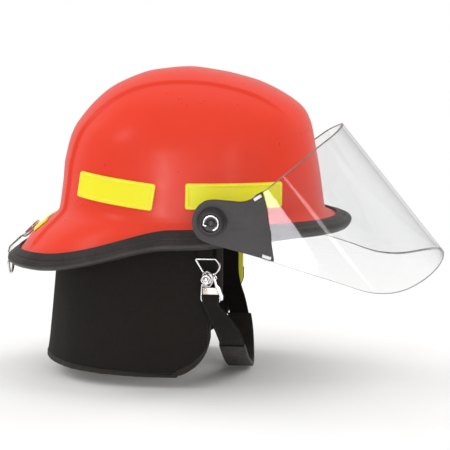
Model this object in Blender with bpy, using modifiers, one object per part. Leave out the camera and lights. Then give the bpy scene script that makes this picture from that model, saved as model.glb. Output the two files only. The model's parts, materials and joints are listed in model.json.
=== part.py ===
"""Firefighter helmet: moulded shell with rubber edge trim, swinging face shield, harness, ear and neck curtain, chin strap.

Metres, +Z up, +X to the front, the wearer's right at -Y. The origin is on the crown axis, level with the side brim.
Dimensions below are in millimetres and are scaled by MM when a mesh is made.
"""

import math

import bmesh
import bpy
from mathutils import Matrix, Vector

MM = 0.001

# ---- driving dimensions, mm ----
SHELL_T = 3.0  # shell wall
GAP = 0.5  # assembly gap between neighbours
SPINE_RAISE = 2.5
SPINE_HALF = 50.0
LINER_T = 13.0
TRIM_LEG = 13.0  # how far the trim's outer leg reaches up the shell at front and rear
TRIM_LEG_MORE = 3.0  # and how much further at the sides
TRIM_T = 2.2
SHIELD_T = 2.5
SHIELD_HALF = 129.1  # outer half width at the shield's flat sides
SHIELD_TILT = math.radians(51.2)  # generator below horizontal, as worn half raised
PIVOT = (37.0, 13.0)  # x, z of the shield's pivot axis
BRACKET_Y = (129.4, 132.9)
KNOB_Y = 133.2
LAP_T = 2.5
RING_SEGMENTS = 48

# shell meridians from crown to edge, (distance from the crown axis, height)
FRONT = [(0, 147), (31, 143), (51.3, 138.4), (72, 132.2), (92.5, 123.8), (105.9, 115.7), (114.1, 107.8), (118.7, 99.3),
         (121.7, 90.1), (125.7, 68.5), (129.5, 46.4), (133, 21), (134.6, 11.5), (138, 6.8), (146.5, 3.4), (157.8, -1)]
REAR = [(0, 147), (25, 145), (45.3, 141), (73, 128.8), (92.2, 113.3), (107.5, 95.2), (113.7, 84.4), (117.1, 74.5),
        (120, 62.8), (121.7, 54.5), (123.3, 37), (125.9, 18), (127.5, 8), (132, 2), (149, -12), (176, -36.8)]
SIDE = [(0, 147), (22, 145), (42, 139), (62, 129), (78, 115.5), (89.5, 100), (95.5, 89), (99.3, 78.5), (101.8, 67.5),
        (103.7, 57), (106.8, 38), (109.6, 20), (111.3, 11), (113.3, 5.2), (117.8, -0.4), (126.4, -11.2)]
STATIONS = len(FRONT) - 1

COLLECTION = "firefighter_helmet"

for obj in list(bpy.data.objects):
    bpy.data.objects.remove(obj)

part = bpy.data.collections.new(COLLECTION)
bpy.context.scene.collection.children.link(part)
cutters = bpy.data.collections.new(COLLECTION + "_cutters")
bpy.context.scene.collection.children.link(cutters)


# ---- materials ----
def material(name, color, roughness, metallic=0.0, alpha=1.0):
    m = bpy.data.materials.new(name)
    m.use_nodes = True
    bsdf = m.node_tree.nodes["Principled BSDF"]
    bsdf.inputs["Base Color"].default_value = (*color, 1)
    bsdf.inputs["Roughness"].default_value = roughness
    bsdf.inputs["Metallic"].default_value = metallic
    bsdf.inputs["Alpha"].default_value = alpha
    return m


RED = ((0.80, 0.055, 0.025), 0.22)
TRIM_BLACK = ((0.03, 0.026, 0.024), 0.55)
FOAM = ((0.05, 0.05, 0.05), 0.9)
LIME = ((0.85, 0.85, 0.03), 0.35)
DARK_PLASTIC = ((0.085, 0.078, 0.08), 0.5)
CLEAR = ((0.95, 0.95, 0.95), 0.05)
STEEL = ((0.78, 0.78, 0.78), 0.25)
CLOTH = ((0.02, 0.016, 0.014), 0.95)
LINING = ((0.80, 0.62, 0.05), 0.9)
WEBBING = ((0.02, 0.018, 0.017), 0.9)
INNER_PLASTIC = ((0.03, 0.03, 0.03), 0.5)


# ---- object helpers ----
def add(obj, look, metallic=0.0, alpha=1.0, smooth=35):
    obj.data.materials.clear()
    obj.data.materials.append(material(obj.name, look[0], look[1], metallic, alpha))
    if obj.type == "MESH" and smooth:
        obj.data.shade_smooth()
        obj.data.set_sharp_from_angle(angle=math.radians(smooth))
    return obj


def from_faces(name, points, faces, origin=(0, 0, 0)):
    """A mesh object from points in millimetres, its origin at the given point in millimetres."""
    mesh = bpy.data.meshes.new(name)
    o = Vector(origin) * MM
    mesh.from_pydata([Vector(p) * MM - o for p in points], [], faces)
    mesh.validate()
    bm = bmesh.new()
    bm.from_mesh(mesh)
    bmesh.ops.remove_doubles(bm, verts=bm.verts, dist=1e-6)
    bmesh.ops.recalc_face_normals(bm, faces=bm.faces)
    bm.to_mesh(mesh)
    bm.free()
    obj = bpy.data.objects.new(name, mesh)
    obj.location = o
    part.objects.link(obj)
    return obj


def closed_sheet(name, outer, inner, wrap, origin=(0, 0, 0)):
    """A closed body between two grids of the same size; wrap joins the last column to the first."""
    rows, cols = len(outer), len(outer[0])
    points = [p for row in outer for p in row] + [p for row in inner for p in row]
    base = rows * cols
    faces = []
    last = cols if wrap else cols - 1
    for i in range(rows - 1):
        for j in range(last):
            k = (j + 1) % cols
            a, b, c, d = i * cols + j, i * cols + k, (i + 1) * cols + k, (i + 1) * cols + j
            faces.append((a, b, c, d))
            faces.append((base + d, base + c, base + b, base + a))
    for j in range(last):
        k = (j + 1) % cols
        for i in (0, rows - 1):
            faces.append((i * cols + j, i * cols + k, base + i * cols + k, base + i * cols + j))
    if not wrap:
        for i in range(rows - 1):
            for j in (0, cols - 1):
                faces.append((i * cols + j, (i + 1) * cols + j, base + (i + 1) * cols + j, base + i * cols + j))
    return from_faces(name, points, faces, origin)


def box(name, low, high, bevel=0.0, origin=None):
    bm = bmesh.new()
    bmesh.ops.create_cube(bm, size=1)
    size = [h - l for l, h in zip(low, high)]
    centre = [(h + l) / 2 for l, h in zip(low, high)]
    o = Vector(origin if origin else centre) * MM
    bmesh.ops.scale(bm, vec=Vector(size) * MM, verts=bm.verts)
    bmesh.ops.translate(bm, vec=Vector(centre) * MM - o, verts=bm.verts)
    if bevel:
        bmesh.ops.bevel(bm, geom=bm.edges, offset=bevel * MM, segments=1, affect="EDGES")
    mesh = bpy.data.meshes.new(name)
    bm.to_mesh(mesh)
    bm.free()
    obj = bpy.data.objects.new(name, mesh)
    obj.location = o
    part.objects.link(obj)
    return obj


AIM = {"x": Matrix.Rotation(math.pi / 2, 4, "Y"), "-x": Matrix.Rotation(-math.pi / 2, 4, "Y"),
       "y": Matrix.Rotation(-math.pi / 2, 4, "X"), "-y": Matrix.Rotation(math.pi / 2, 4, "X"),
       "z": Matrix.Identity(4)}


def turned(name, profile, at, aim, steps=20):
    """A profile of (radius, height), listed from the top down its outer side, turned about the local Z aimed along aim."""
    mesh = bpy.data.meshes.new(name)
    mesh.from_pydata([Vector((r, 0, h)) * MM for r, h in profile], [(i, i + 1) for i in range(len(profile) - 1)], [])
    obj = bpy.data.objects.new(name, mesh)
    part.objects.link(obj)
    screw = obj.modifiers.new("turn", "SCREW")
    screw.steps = screw.render_steps = steps
    screw.use_merge_vertices = True
    screw.merge_threshold = 1e-5
    screw.use_smooth_shade = True
    obj.matrix_world = Matrix.Translation(Vector(at) * MM) @ AIM[aim]
    return obj


def ring_profile(r_in, r_out, h0, h1):
    return [(r_in, h1), (r_out, h1), (r_out, h0), (r_in, h0), (r_in, h1)]


def wire(name, points, radius, cyclic=True, origin=(0, 0, 0), resolution=1):
    curve = bpy.data.curves.new(name, "CURVE")
    curve.dimensions = "3D"
    curve.bevel_depth = radius * MM
    curve.bevel_resolution = resolution
    curve.use_fill_caps = True
    spline = curve.splines.new("POLY")
    spline.points.add(len(points) - 1)
    for slot, p in zip(spline.points, points):
        slot.co = (*[(a - b) * MM for a, b in zip(p, origin)], 1)
    spline.use_cyclic_u = cyclic
    obj = bpy.data.objects.new(name, curve)
    obj.location = Vector(origin) * MM
    part.objects.link(obj)
    return obj


def rounded(points, radius, steps=3):
    """A closed outline with each corner replaced by a short arc."""
    out = []
    n = len(points)
    for i in range(n):
        a, b, c = Vector(points[i - 1]), Vector(points[i]), Vector(points[(i + 1) % n])
        u, v = (a - b), (c - b)
        cut = min(radius, u.length * 0.45, v.length * 0.45)
        p, q = b + u.normalized() * cut, b + v.normalized() * cut
        for s in range(steps + 1):
            t = s / steps
            out.append(tuple((1 - t) ** 2 * p + 2 * t * (1 - t) * b + t * t * q))
    return out


def plate(name, outline, y_low, y_high, holes=(), origin_xz=(0, 0)):
    """A flat plate: outline and holes in x, z; from y_low to y_high."""
    curve = bpy.data.curves.new(name, "CURVE")
    curve.dimensions = "2D"
    curve.fill_mode = "BOTH"
    curve.extrude = (y_high - y_low) / 2 * MM
    for loop in (outline, *holes):
        spline = curve.splines.new("POLY")
        spline.points.add(len(loop) - 1)
        for slot, p in zip(spline.points, loop):
            slot.co = ((p[0] - origin_xz[0]) * MM, (p[1] - origin_xz[1]) * MM, 0, 1)
        spline.use_cyclic_u = True
    flat = bpy.data.objects.new(name + "_flat", curve)
    part.objects.link(flat)
    bpy.context.view_layer.update()
    mesh = bpy.data.meshes.new_from_object(flat.evaluated_get(bpy.context.evaluated_depsgraph_get()))
    bpy.data.objects.remove(flat)
    bm = bmesh.new()
    bm.from_mesh(mesh)
    bmesh.ops.remove_doubles(bm, verts=bm.verts, dist=1e-6)
    bmesh.ops.recalc_face_normals(bm, faces=bm.faces)
    bm.to_mesh(mesh)
    bm.free()
    obj = bpy.data.objects.new(name, mesh)
    obj.matrix_world = Matrix.Translation(Vector((origin_xz[0], (y_low + y_high) / 2, origin_xz[1])) * MM) @ Matrix.Rotation(math.pi / 2, 4, "X")
    part.objects.link(obj)
    return obj


def circle(cx, cz, r, n=16):
    return [(cx + r * math.cos(2 * math.pi * i / n), cz + r * math.sin(2 * math.pi * i / n)) for i in range(n)]


def swept_strip(name, path, half_width, thickness, across=(0, 1, 0), origin=(0, 0, 0)):
    """A flat band along a path, its width along across and its thickness either side of the path."""
    w = Vector(across).normalized()
    outer, inner = [], []
    for i, p in enumerate(path):
        a, b = Vector(path[max(i - 1, 0)]), Vector(path[min(i + 1, len(path) - 1)])
        n = (b - a).cross(w).normalized() * thickness / 2
        half = half_width[i] if isinstance(half_width, (list, tuple)) else half_width
        for side, grid in ((n, outer), (-n, inner)):
            grid.append([tuple(Vector(p) + side - w * half), tuple(Vector(p) + side + w * half)])
    return closed_sheet(name, outer, inner, False, origin)


# ---- shell surface ----
def smooth(x):
    x = min(max(x, 0.0), 1.0)
    return x * x * (3 - 2 * x)


def along(stations, t):
    """Catmull-Rom value of a list of pairs at the real station t."""
    i = min(int(t), len(stations) - 2)
    f = t - i
    p0, p1, p2, p3 = (stations[min(max(k, 0), len(stations) - 1)] for k in (i - 1, i, i + 1, i + 2))
    if i == 0:
        p0 = (-stations[1][0], stations[1][1])
    return tuple(0.5 * (2 * b + (c - a) * f + (2 * a - 5 * b + 4 * c - d) * f * f + (3 * b - a - 3 * c + d) * f ** 3)
                 for a, b, c, d in zip(p0, p1, p2, p3))


def shell_base(theta, t):
    """The shell's outer surface without its spine, at turn theta (0 front, pi rear) and station t."""
    c, s = math.cos(theta), math.sin(theta)
    front = c >= 0
    reach, z_end = along(FRONT if front else REAR, t)
    half, z_side = along(SIDE, t)
    brim = smooth((t - 11) / 3)
    power = (2.12 + 0.1 * brim) if front else (2.15 + 0.65 * brim)
    x = reach * math.copysign(abs(c) ** (2 / power), c)
    y = half * math.copysign(abs(s) ** (2 / power), s)
    phi = math.degrees(math.atan2(abs(y), abs(x))) if t > 0 else 0
    round_mix = math.cos(math.radians(phi)) ** 2
    w = round_mix + (smooth((90 - phi) / 55) - round_mix) * brim
    return Vector((x, y, z_side + (z_end - z_side) * w))


def spine(p, t):
    """How much of the spine's height stands at a point."""
    half = SPINE_HALF + 31 * smooth((t - 12) / 3.5) * (p.x < 0)
    edge = 1 - smooth((abs(p.y) - half + 2) / 4)
    return edge * (1 - smooth((p.x - 62) / 45)) * (1 - smooth((t - 14.2) / 0.35))


def shell_normal(theta, t):
    t = min(max(t, 0.05), STATIONS - 0.02)
    e = 0.02
    a = shell_base(theta + e, t) - shell_base(theta - e, t)
    b = shell_base(theta, t + e) - shell_base(theta, t - e)
    n = b.cross(a)
    if n.length < 1e-9:
        return Vector((0, 0, 1))
    n.normalize()
    return n if n.dot(Vector((math.cos(theta), math.sin(theta), 0.6))) > 0 else -n


def shell_point(theta, t, lift=0.0):
    p = shell_base(theta, t)
    n = shell_normal(theta, t) if t > 0 else Vector((0, 0, 1))
    return p + n * (SPINE_RAISE * spine(p, t) + lift)


def wall_point(x, z, side, lift):
    """The point of the outer surface at a given x and z on the given side, -1 right or +1 left."""
    low, high = 0.02, math.pi - 0.02
    for _ in range(26):
        theta = (low + high) / 2
        a, b = 1.0, 13.5
        for _ in range(22):
            t = (a + b) / 2
            if shell_base(theta, t).z > z:
                a = t
            else:
                b = t
        if shell_base(theta, t).x > x:
            low = theta
        else:
            high = theta
    return shell_point(side * theta, t, lift)


def turns(n, low=0.0, high=2 * math.pi, ends=False):
    return [low + (high - low) * i / (n - 1 if ends else n) for i in range(n)]


def shell_grid(stations, lift, n=RING_SEGMENTS):
    return [[tuple(shell_point(a, t, lift)) for a in turns(n)] for t in stations]


def cap(name, stations, lift_out, lift_in, n=RING_SEGMENTS):
    """A closed dome between two lifts of the shell surface, closed at the crown by a pole on each face."""
    outer, inner = shell_grid(stations, lift_out, n), shell_grid(stations, lift_in, n)
    rows = len(stations)
    points = [p for row in outer for p in row] + [p for row in inner for p in row]
    base = rows * n
    top, under = len(points), len(points) + 1
    crown = shell_point(0, 0)
    points += [tuple(crown + Vector((0, 0, lift_out))), tuple(crown + Vector((0, 0, lift_in)))]
    faces = []
    for j in range(n):
        k = (j + 1) % n
        faces.append((top, j, k))
        faces.append((under, base + k, base + j))
        for i in range(rows - 1):
            faces.append((i * n + j, (i + 1) * n + j, (i + 1) * n + k, i * n + k))
            faces.append((base + i * n + k, base + (i + 1) * n + k, base + (i + 1) * n + j, base + i * n + j))
        i = rows - 1
        faces.append((i * n + j, base + i * n + j, base + i * n + k, i * n + k))
    return from_faces(name, points, faces)


SHELL_STATIONS = [1, 2, 3, 4, 5.2, 6.5, 8, 9.5, 11, 12, 13, 14.1, 14.6, 15]
add(cap("outer_shell", SHELL_STATIONS, 0, -SHELL_T), RED)
add(cap("impact_liner", [1.2, 2.6, 4, 5.2, 6.5, 8.5, 11], -SHELL_T - 2.4, -SHELL_T - 2.4 - LINER_T, 36), FOAM)


# ---- edge trim: a channel round the shell's edge ----
def edge_frame(theta):
    edge = shell_base(theta, STATIONS)
    n = shell_normal(theta, STATIONS)
    out = (edge - shell_base(theta, STATIONS - 0.25)).normalized()
    n = (n - out * n.dot(out)).normalized()
    return edge, out, n


def trim_section():
    """(along the brim outwards, along its normal) of the channel, its slot open inwards."""
    g, t = GAP, TRIM_T
    top, low = SPINE_RAISE * 0 + g, -SHELL_T - g
    return [(-TRIM_LEG, top + 0.3), (-TRIM_LEG, top + t), (-4.5, top + t), (-3.5, top + t + 0.9), (1.5, top + t + 0.7),
            (3.6, 0.6), (3.6, low + 0.6), (1.5, low - t - 0.7), (-9.5, low - t - 0.4), (-9.5, low - 0.4), (g, low), (g, top + 0.3)]


def trim_ring():
    section = trim_section()
    points, faces = [], []
    n, m = RING_SEGMENTS, len(section)
    for theta in turns(n):
        edge, out, normal = edge_frame(theta)
        raised = SPINE_RAISE * spine(edge, STATIONS)
        for a, b in section:
            lift = raised if b > -1 else 0
            a -= TRIM_LEG_MORE * math.sin(theta) ** 2 * (a <= -TRIM_LEG)
            points.append(tuple(edge + out * a + normal * (b + lift)))
    for j in range(n):
        k = (j + 1) % n
        for i in range(m):
            h = (i + 1) % m
            faces.append((j * m + i, j * m + h, k * m + h, k * m + i))
    return from_faces("edge_trim", points, faces)


add(trim_ring(), TRIM_BLACK)


# ---- reflector patches ----
def reflector(name, x0, x1, z0, z1, height, slant, side, n=8):
    """A strip on the side wall: ends at x0 and x1, whose mid heights are z0 and z1."""
    outer, inner = [], []
    for i in range(4):
        v = (i / 3 - 0.5) * height
        row_o, row_i = [], []
        for j in range(n):
            f = j / (n - 1)
            x, z = x0 + (x1 - x0) * f + v * slant, z0 + (z1 - z0) * f + v
            row_o.append(tuple(wall_point(x, z, side, 2.2)))
            row_i.append(tuple(wall_point(x, z, side, 0.9)))
        outer.append(row_o)
        inner.append(row_i)
    return add(closed_sheet(name, outer, inner, False), LIME)


for side, word in ((-1, "right"), (1, "left")):
    reflector("reflector_front_" + word, 9, 97, 32.8, 32.2, 24.5, 0.0, side)
    reflector("reflector_rear_" + word, -98, -20.5, 39.6, 31.2, 25, 0.15, side)


def rear_reflector():
    outer, inner = [], []
    for i in range(4):
        t = 13.4 + 0.68 * i / 3
        row_o, row_i = [], []
        for j in range(7):
            theta = math.pi + (j / 6 - 0.5) * 0.52
            row_o.append(tuple(shell_point(theta, t, 1.9)))
            row_i.append(tuple(shell_point(theta, t, 0.6)))
        outer.append(row_o)
        inner.append(row_i)
    return add(closed_sheet("reflector_rear_brim", outer, inner, False), LIME)


rear_reflector()

# ---- face shield ----
CH, SH = math.cos(SHIELD_TILT), math.sin(SHIELD_TILT)
SHIELD_FLAT = 92.0  # where the flat sides begin, measured across the generators
SHIELD_DEPTH = 84.5
SHIELD_POWER = 2.15
LOWER_EDGE = [(57.9, 78.6), (95, 133), (105, 148.5), (114, 159.5), (126, 169.5), (138, 176), (150, 180), (160, 182.5),
              (170, 184), (176.5, 184.5)]


def from_tilted(h, g, y):
    """A point from its place across (h) and along (g) the shield's generators."""
    return Vector((h * SH + g * CH, y, h * CH - g * SH))


def lower_edge(h):
    for (h0, g0), (h1, g1) in zip(LOWER_EDGE, LOWER_EDGE[1:]):
        if h <= h1:
            return g0 + (g1 - g0) * (h - h0) / (h1 - h0)
    return LOWER_EDGE[-1][1]


def shield_grid(inset):
    columns = []
    depth, half = SHIELD_DEPTH - inset, SHIELD_HALF - inset
    rear_top, rear_low = (81.5, 18.1), (48.6, 66.9)
    for f in (1.0, 0.5):
        top = (SHIELD_FLAT + (rear_top[0] - SHIELD_FLAT) * f, 20.6 + (rear_top[1] - 20.6) * f)
        low = (SHIELD_FLAT + (rear_low[0] - SHIELD_FLAT) * f, lower_edge(SHIELD_FLAT) + (rear_low[1] - lower_edge(SHIELD_FLAT)) * f)
        columns.append([from_tilted(top[0] + (low[0] - top[0]) * w, top[1] + (low[1] - top[1]) * w, -half)
                        for w in (0, 0.2, 0.4, 0.6, 0.8, 1)])
    for k in range(12):
        a = math.pi / 2 * (1 - k / 12)
        h = SHIELD_FLAT + depth * math.cos(a) ** (2 / SHIELD_POWER)
        y = -half * math.sin(a) ** (2 / SHIELD_POWER)
        outer_h = SHIELD_FLAT + SHIELD_DEPTH * math.cos(a) ** (2 / SHIELD_POWER)
        top, low = 20.6 + 1.8 * smooth((outer_h - 150) / 26), lower_edge(outer_h)
        columns.append([from_tilted(h, top + (low - top) * w, y) for w in (0, 0.2, 0.4, 0.6, 0.8, 1)])
    tip = [from_tilted(SHIELD_FLAT + depth, 22.4 + (184.5 - 22.4) * w, 0) for w in (0, 0.2, 0.4, 0.6, 0.8, 1)]
    mirrored = [[Vector((p.x, -p.y, p.z)) for p in col] for col in reversed(columns)]
    return [[tuple(p) for p in col] for col in columns + [tip] + mirrored]


add(closed_sheet("face_shield", shield_grid(0), shield_grid(SHIELD_T), False, (PIVOT[0], 0, PIVOT[1])), CLEAR, alpha=0.25)

BRACKET = [(17.2, 14.5), (35, 33.6), (50, 32.8), (64.4, 31.6), (72, 33.5), (83.6, 41.9), (87.4, 27.6), (91.3, -2.6),
           (94.8, -24.6), (64.5, -15.5), (50, -11.8), (36.1, -8.2), (22.8, -2.7), (18, 5.5)]
SLOT_UPPER = ((79.2, 35.7), (0.85, 0.53))
SLOT_LOWER = ((87.6, -19.4), (0.96, -0.28))


def slot_outline(centre, direction, length, width):
    d = Vector(direction).normalized() * length / 2
    n = Vector((-d.y, d.x)).normalized() * width / 2
    c = Vector(centre)
    return [tuple(c + d + n), tuple(c - d + n), tuple(c - d - n), tuple(c + d - n)]


for side, word in ((-1, "right"), (1, "left")):
    def span(a, b):
        return (a, b) if side > 0 else (-b, -a)

    aim = "y" if side > 0 else "-y"
    add(plate("visor_bracket_" + word, rounded(BRACKET, 5), *span(*BRACKET_Y),
              holes=[circle(*PIVOT, 4.0, 12), slot_outline(*SLOT_UPPER, 8.4, 3.2), slot_outline(*SLOT_LOWER, 8.6, 3.4)],
              origin_xz=PIVOT), DARK_PLASTIC)
    for slot, where in ((SLOT_UPPER, "upper"), (SLOT_LOWER, "lower")):
        add(plate(f"shield_clip_{where}_{word}", slot_outline(*slot, 7.6, 2.5), *span(129.5, 133.4), origin_xz=slot[0]), INNER_PLASTIC)
    at = (PIVOT[0], 0, PIVOT[1])
    add(turned("pivot_block_" + word, [(0, 127.6), (6, 127.6), (6, 113.6), (0, 113.6)], at, aim), DARK_PLASTIC)
    add(turned("friction_washer_" + word, ring_profile(4.1, 9.5, 127.9, 129.1), at, aim), INNER_PLASTIC)
    add(turned("pivot_stud_" + word, [(0, 139.2), (3.6, 139.2), (3.6, 127.9), (0, 127.9)], at, aim, 14), STEEL, 1.0)
    b = KNOB_Y
    add(turned("tension_knob_" + word, [(0, b + 9), (3.3, b + 9), (3.3, b + 7.8), (8.2, b + 7.8), (8.2, b + 9.4), (10, b + 9.8), (12, b + 9),
                                        (12.4, b + 3), (14, b + 2.4), (14, b), (4.0, b), (4.0, b + 6.4), (0, b + 6.4)], at, aim, 24), DARK_PLASTIC)
    arc = [(PIVOT[0] + 6.8 * math.cos(math.radians(a)), side * (b + 9.3), PIVOT[1] + 6.8 * math.sin(math.radians(a))) for a in range(-85, 166, 25)]
    add(wire("knob_insert_" + word, arc, 1.1, False, (PIVOT[0], side * (b + 9.3), PIVOT[1])), STEEL, 1.0)

# ---- harness inside the shell ----
BAND = (5.0, 97.0, 78.5)  # centre x, half length and half width of the headband's outer face


def band_grid(low, high, inset, z0, z1, n, rows=2):
    grid = []
    for i in range(rows):
        z = z0 + (z1 - z0) * i / (rows - 1)
        grid.append([(BAND[0] + (BAND[1] - inset) * math.cos(a), (BAND[2] - inset) * math.sin(a), z) for a in turns(n, low, high, True)])
    return grid


OPEN = math.radians(152)
add(closed_sheet("headband", band_grid(-OPEN, OPEN, 0, -6, 24, 30), band_grid(-OPEN, OPEN, 1.6, -6, 24, 30), False), INNER_PLASTIC)
WIDE = math.radians(52)
add(closed_sheet("brow_pad", band_grid(-WIDE, WIDE, 2.0, -4, 22, 13), band_grid(-WIDE, WIDE, 7.0, -4, 22, 13), False), CLOTH)
arch = [(BAND[0] + (BAND[1] - 1) * math.cos(a), 0, 25 + 92.4 * math.sin(a)) for a in turns(17, 0, math.pi, True)]
add(swept_strip("crown_strap_long", arch, 12.5, 1.5, (0, 1, 0)), WEBBING)
arch = [(BAND[0], (BAND[2] - 1) * math.cos(a), 25 + 95.5 * math.sin(a)) for a in turns(17, 0, math.pi, True)]
add(swept_strip("crown_strap_cross", arch, 12.5, 1.5, (1, 0, 0)), WEBBING)
add(turned("crown_pad", [(0, 115.2), (16, 115), (20, 113), (20, 111.4), (18, 110.4), (0, 110.4)], (BAND[0], 0, 0), "z", 20), CLOTH)
for side, word in ((-1, "right"), (1, "left")):
    for angle, where in ((42, "front"), (138, "rear")):
        a = math.radians(angle)
        foot = Vector((BAND[0] + BAND[1] * math.cos(a), side * BAND[2] * math.sin(a), 0))
        out = Vector((math.cos(a) / BAND[1], side * math.sin(a) / BAND[2], 0)).normalized()
        clip = box(f"headband_hanger_{where}_{word}", (-3.2, -8, -10), (3.2, 8, 10), 1.0, (0, 0, 0))
        clip.matrix_world = Matrix.Translation((foot + out * 3.9 + Vector((0, 0, 12))) * MM) @ Matrix.Rotation(math.atan2(out.y, out.x), 4, "Z")
        add(clip, INNER_PLASTIC)

# ratchet at the back of the headband
RZ = -10.0
housing = box("ratchet_housing", (-103, -32, RZ - 13), (-94, 32, RZ + 17), 1.5)
channel = box("ratchet_channel_cutter", (-99, -40, RZ - 10), (-90, 40, RZ + 15))
bore = turned("ratchet_bore_cutter", [(0, 20), (2.4, 20), (2.4, -20), (0, -20)], (-100, 0, RZ), "x", 12)
for cutter in (channel, bore):
    part.objects.unlink(cutter)
    cutters.objects.link(cutter)
    cutter.hide_render = True
    cutter.display_type = "WIRE"
    cut = housing.modifiers.new(cutter.name, "BOOLEAN")
    cut.operation = "DIFFERENCE"
    cut.object = cutter
add(housing, INNER_PLASTIC)
add(turned("ratchet_pinion", [(0, 4.9), (5, 4.9), (5, 1.3), (2, 1.3), (2, -7.5), (0, -7.5)], (-100, 0, RZ), "x", 16), INNER_PLASTIC)
add(turned("ratchet_knob", [(0, 13.2), (9, 13.2), (12.4, 12.2), (13, 11), (13, 5), (11, 3.4), (2.4, 3.4), (2.4, 8.2), (0, 8.2)],
           (-100, 0, RZ), "-x", 24), INNER_PLASTIC)
add(box("rack_tail_left", (-98.4, -12, RZ + 5.4), (-95.4, 46, RZ + 13.5), 0.5), INNER_PLASTIC)
add(box("rack_tail_right", (-98.4, -46, RZ - 9.6), (-95.4, 12, RZ - 5.4), 0.5), INNER_PLASTIC)

# ---- ear and neck curtain ----
LAP_PROFILE = [(-2, 122, 100), (-20, 127, 100.5), (-45, 133, 101), (-90, 137.5, 101.5), (-120, 140.5, 102), (-142, 143.5, 102.5)]
LAP_POWER = 2.5
LAP_FRONT = 43.0
LAP_DROP = 140.0


def lap_reach(z):
    for (z0, a0, b0), (z1, a1, b1) in zip(LAP_PROFILE, LAP_PROFILE[1:]):
        if z >= z1 or z1 == LAP_PROFILE[-1][0]:
            f = min(max((z - z0) / (z1 - z0), 0), 1)
            return a0 + (a1 - a0) * f, b0 + (b1 - b0) * f


def lap_front(z):
    """Where the curtain's front edge is at a height: straight, then drawn back."""
    return LAP_FRONT - 11 * smooth((-50 - z) / 43)


def lap_bottom(x):
    """The curtain's lower edge at an x: level, rising round the front corner."""
    if x < -12:
        return -142
    f = min((x + 12) / 44.5, 1)
    return -142 + 47 * (1 - math.sqrt(max(1 - f * f, 0)))


def lap_point(u, v, inset):
    """u from -1 (right front edge) through 0 (rear) to 1 (left front edge), v from 0 (top) to 1 (bottom)."""
    side = -1 if u < 0 else 1
    f = abs(u)
    rear_part = 0.72
    if f <= rear_part:
        t = f / rear_part * math.pi / 2
        z = -2 - (LAP_DROP - 4 * math.cos(t) ** 2) * v
        a, b = lap_reach(z)
        return Vector((-(a - inset) * math.cos(t) ** (2 / LAP_POWER), side * (b - inset) * math.sin(t) ** (2 / LAP_POWER), z))
    k = (f - rear_part) / (1 - rear_part)
    x = k * LAP_FRONT
    for _ in range(3):
        z = -2 + (lap_bottom(x) + 2) * v
        x = k * lap_front(z)
    z = -2 + (lap_bottom(x) + 2) * v
    b = lap_reach(z)[1]
    return Vector((x, side * (b - inset), z))


def lap_grid(inset, us, vs):
    return [[tuple(lap_point(u, v, inset)) for u in us] for v in vs]


US = [-1, -0.93, -0.86, -0.79, -0.72] + [-0.72 + 1.44 * i / 20 for i in range(1, 20)] + [0.72, 0.79, 0.86, 0.93, 1]
VS = [0, 0.15, 0.31, 0.5, 0.68, 0.85, 1]
add(closed_sheet("ear_lap", lap_grid(0, US, VS), lap_grid(LAP_T, US, VS), False), CLOTH)
UL = [u * 0.985 for u in US]
VL = [0.02, 0.15, 0.31, 0.5, 0.68, 0.85, 0.975]
add(closed_sheet("ear_lap_lining", lap_grid(LAP_T + 0.4, UL, VL), lap_grid(LAP_T + 1.6, UL, VL), False), LINING)


def tape_grid(inset):
    rows = []
    for z in (10, -14):
        a, b = lap_reach(min(z, -2))
        rows.append([(-(122 - inset) * math.cos(t) ** (2 / LAP_POWER), (100 - inset) * math.copysign(abs(math.sin(t)) ** (2 / LAP_POWER), t), z)
                     for t in turns(23, -math.pi / 2, math.pi / 2, True)])
    return rows


add(closed_sheet("lap_hook_tape", tape_grid(4.6), tape_grid(6.0), False), INNER_PLASTIC)

# ---- chin strap ----
STRAP = [(33, -105, -70.6), (36.5, -105, -77), (41, -104.8, -85), (46, -103.2, -94), (48.5, -97, -103), (49.8, -84, -113), (50.8, -62, -125),
         (51.6, -32, -139.5), (52, 0, -148.5), (50, 28, -141), (46, 57, -121), (39, 80, -99), (31, 91, -76), (30, 93.3, -50), (30, 93.3, 9)]
STRAP_HALF = [8, 8.7, 9.8, 10.4, 10.3, 10, 10, 10, 10, 10, 10, 10, 10, 10, 10]


def curve_through(points, steps):
    out = []
    for i in range(len(points) - 1):
        p = [Vector(points[min(max(k, 0), len(points) - 1)]) for k in (i - 1, i, i + 1, i + 2)]
        for s in range(steps):
            f = s / steps
            out.append(0.5 * (2 * p[1] + (p[2] - p[0]) * f + (2 * p[0] - 5 * p[1] + 4 * p[2] - p[3]) * f * f + (3 * p[1] - p[0] - 3 * p[2] + p[3]) * f ** 3))
    out.append(Vector(points[-1]))
    return out


full = curve_through(STRAP, 4)
half = [STRAP_HALF[i // 4] + (STRAP_HALF[min(i // 4 + 1, len(STRAP_HALF) - 1)] - STRAP_HALF[i // 4]) * (i % 4) / 4 for i in range(len(full))]
add(swept_strip("chin_strap", [tuple(p) for p in full], half, 1.8, (1, 0, 0)), WEBBING)


def sleeve():
    """A sleeve with an open slot through it, round the strap at the chin."""
    path = [p for p in full if p.z < -112]
    outer, inner = [], []
    for i, p in enumerate(path):
        a, b = path[max(i - 1, 0)], path[min(i + 1, len(path) - 1)]
        n = (b - a).cross(Vector((1, 0, 0))).normalized()
        w = Vector((1, 0, 0))
        outer.append([tuple(p + w * sx * 12.5 + n * sn * 2.6) for sx, sn in ((-1, -1), (1, -1), (1, 1), (-1, 1))])
        inner.append([tuple(p + w * sx * 10.6 + n * sn * 1.4) for sx, sn in ((-1, -1), (1, -1), (1, 1), (-1, 1))])
    return closed_sheet("chin_sleeve", outer, inner, True)


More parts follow.
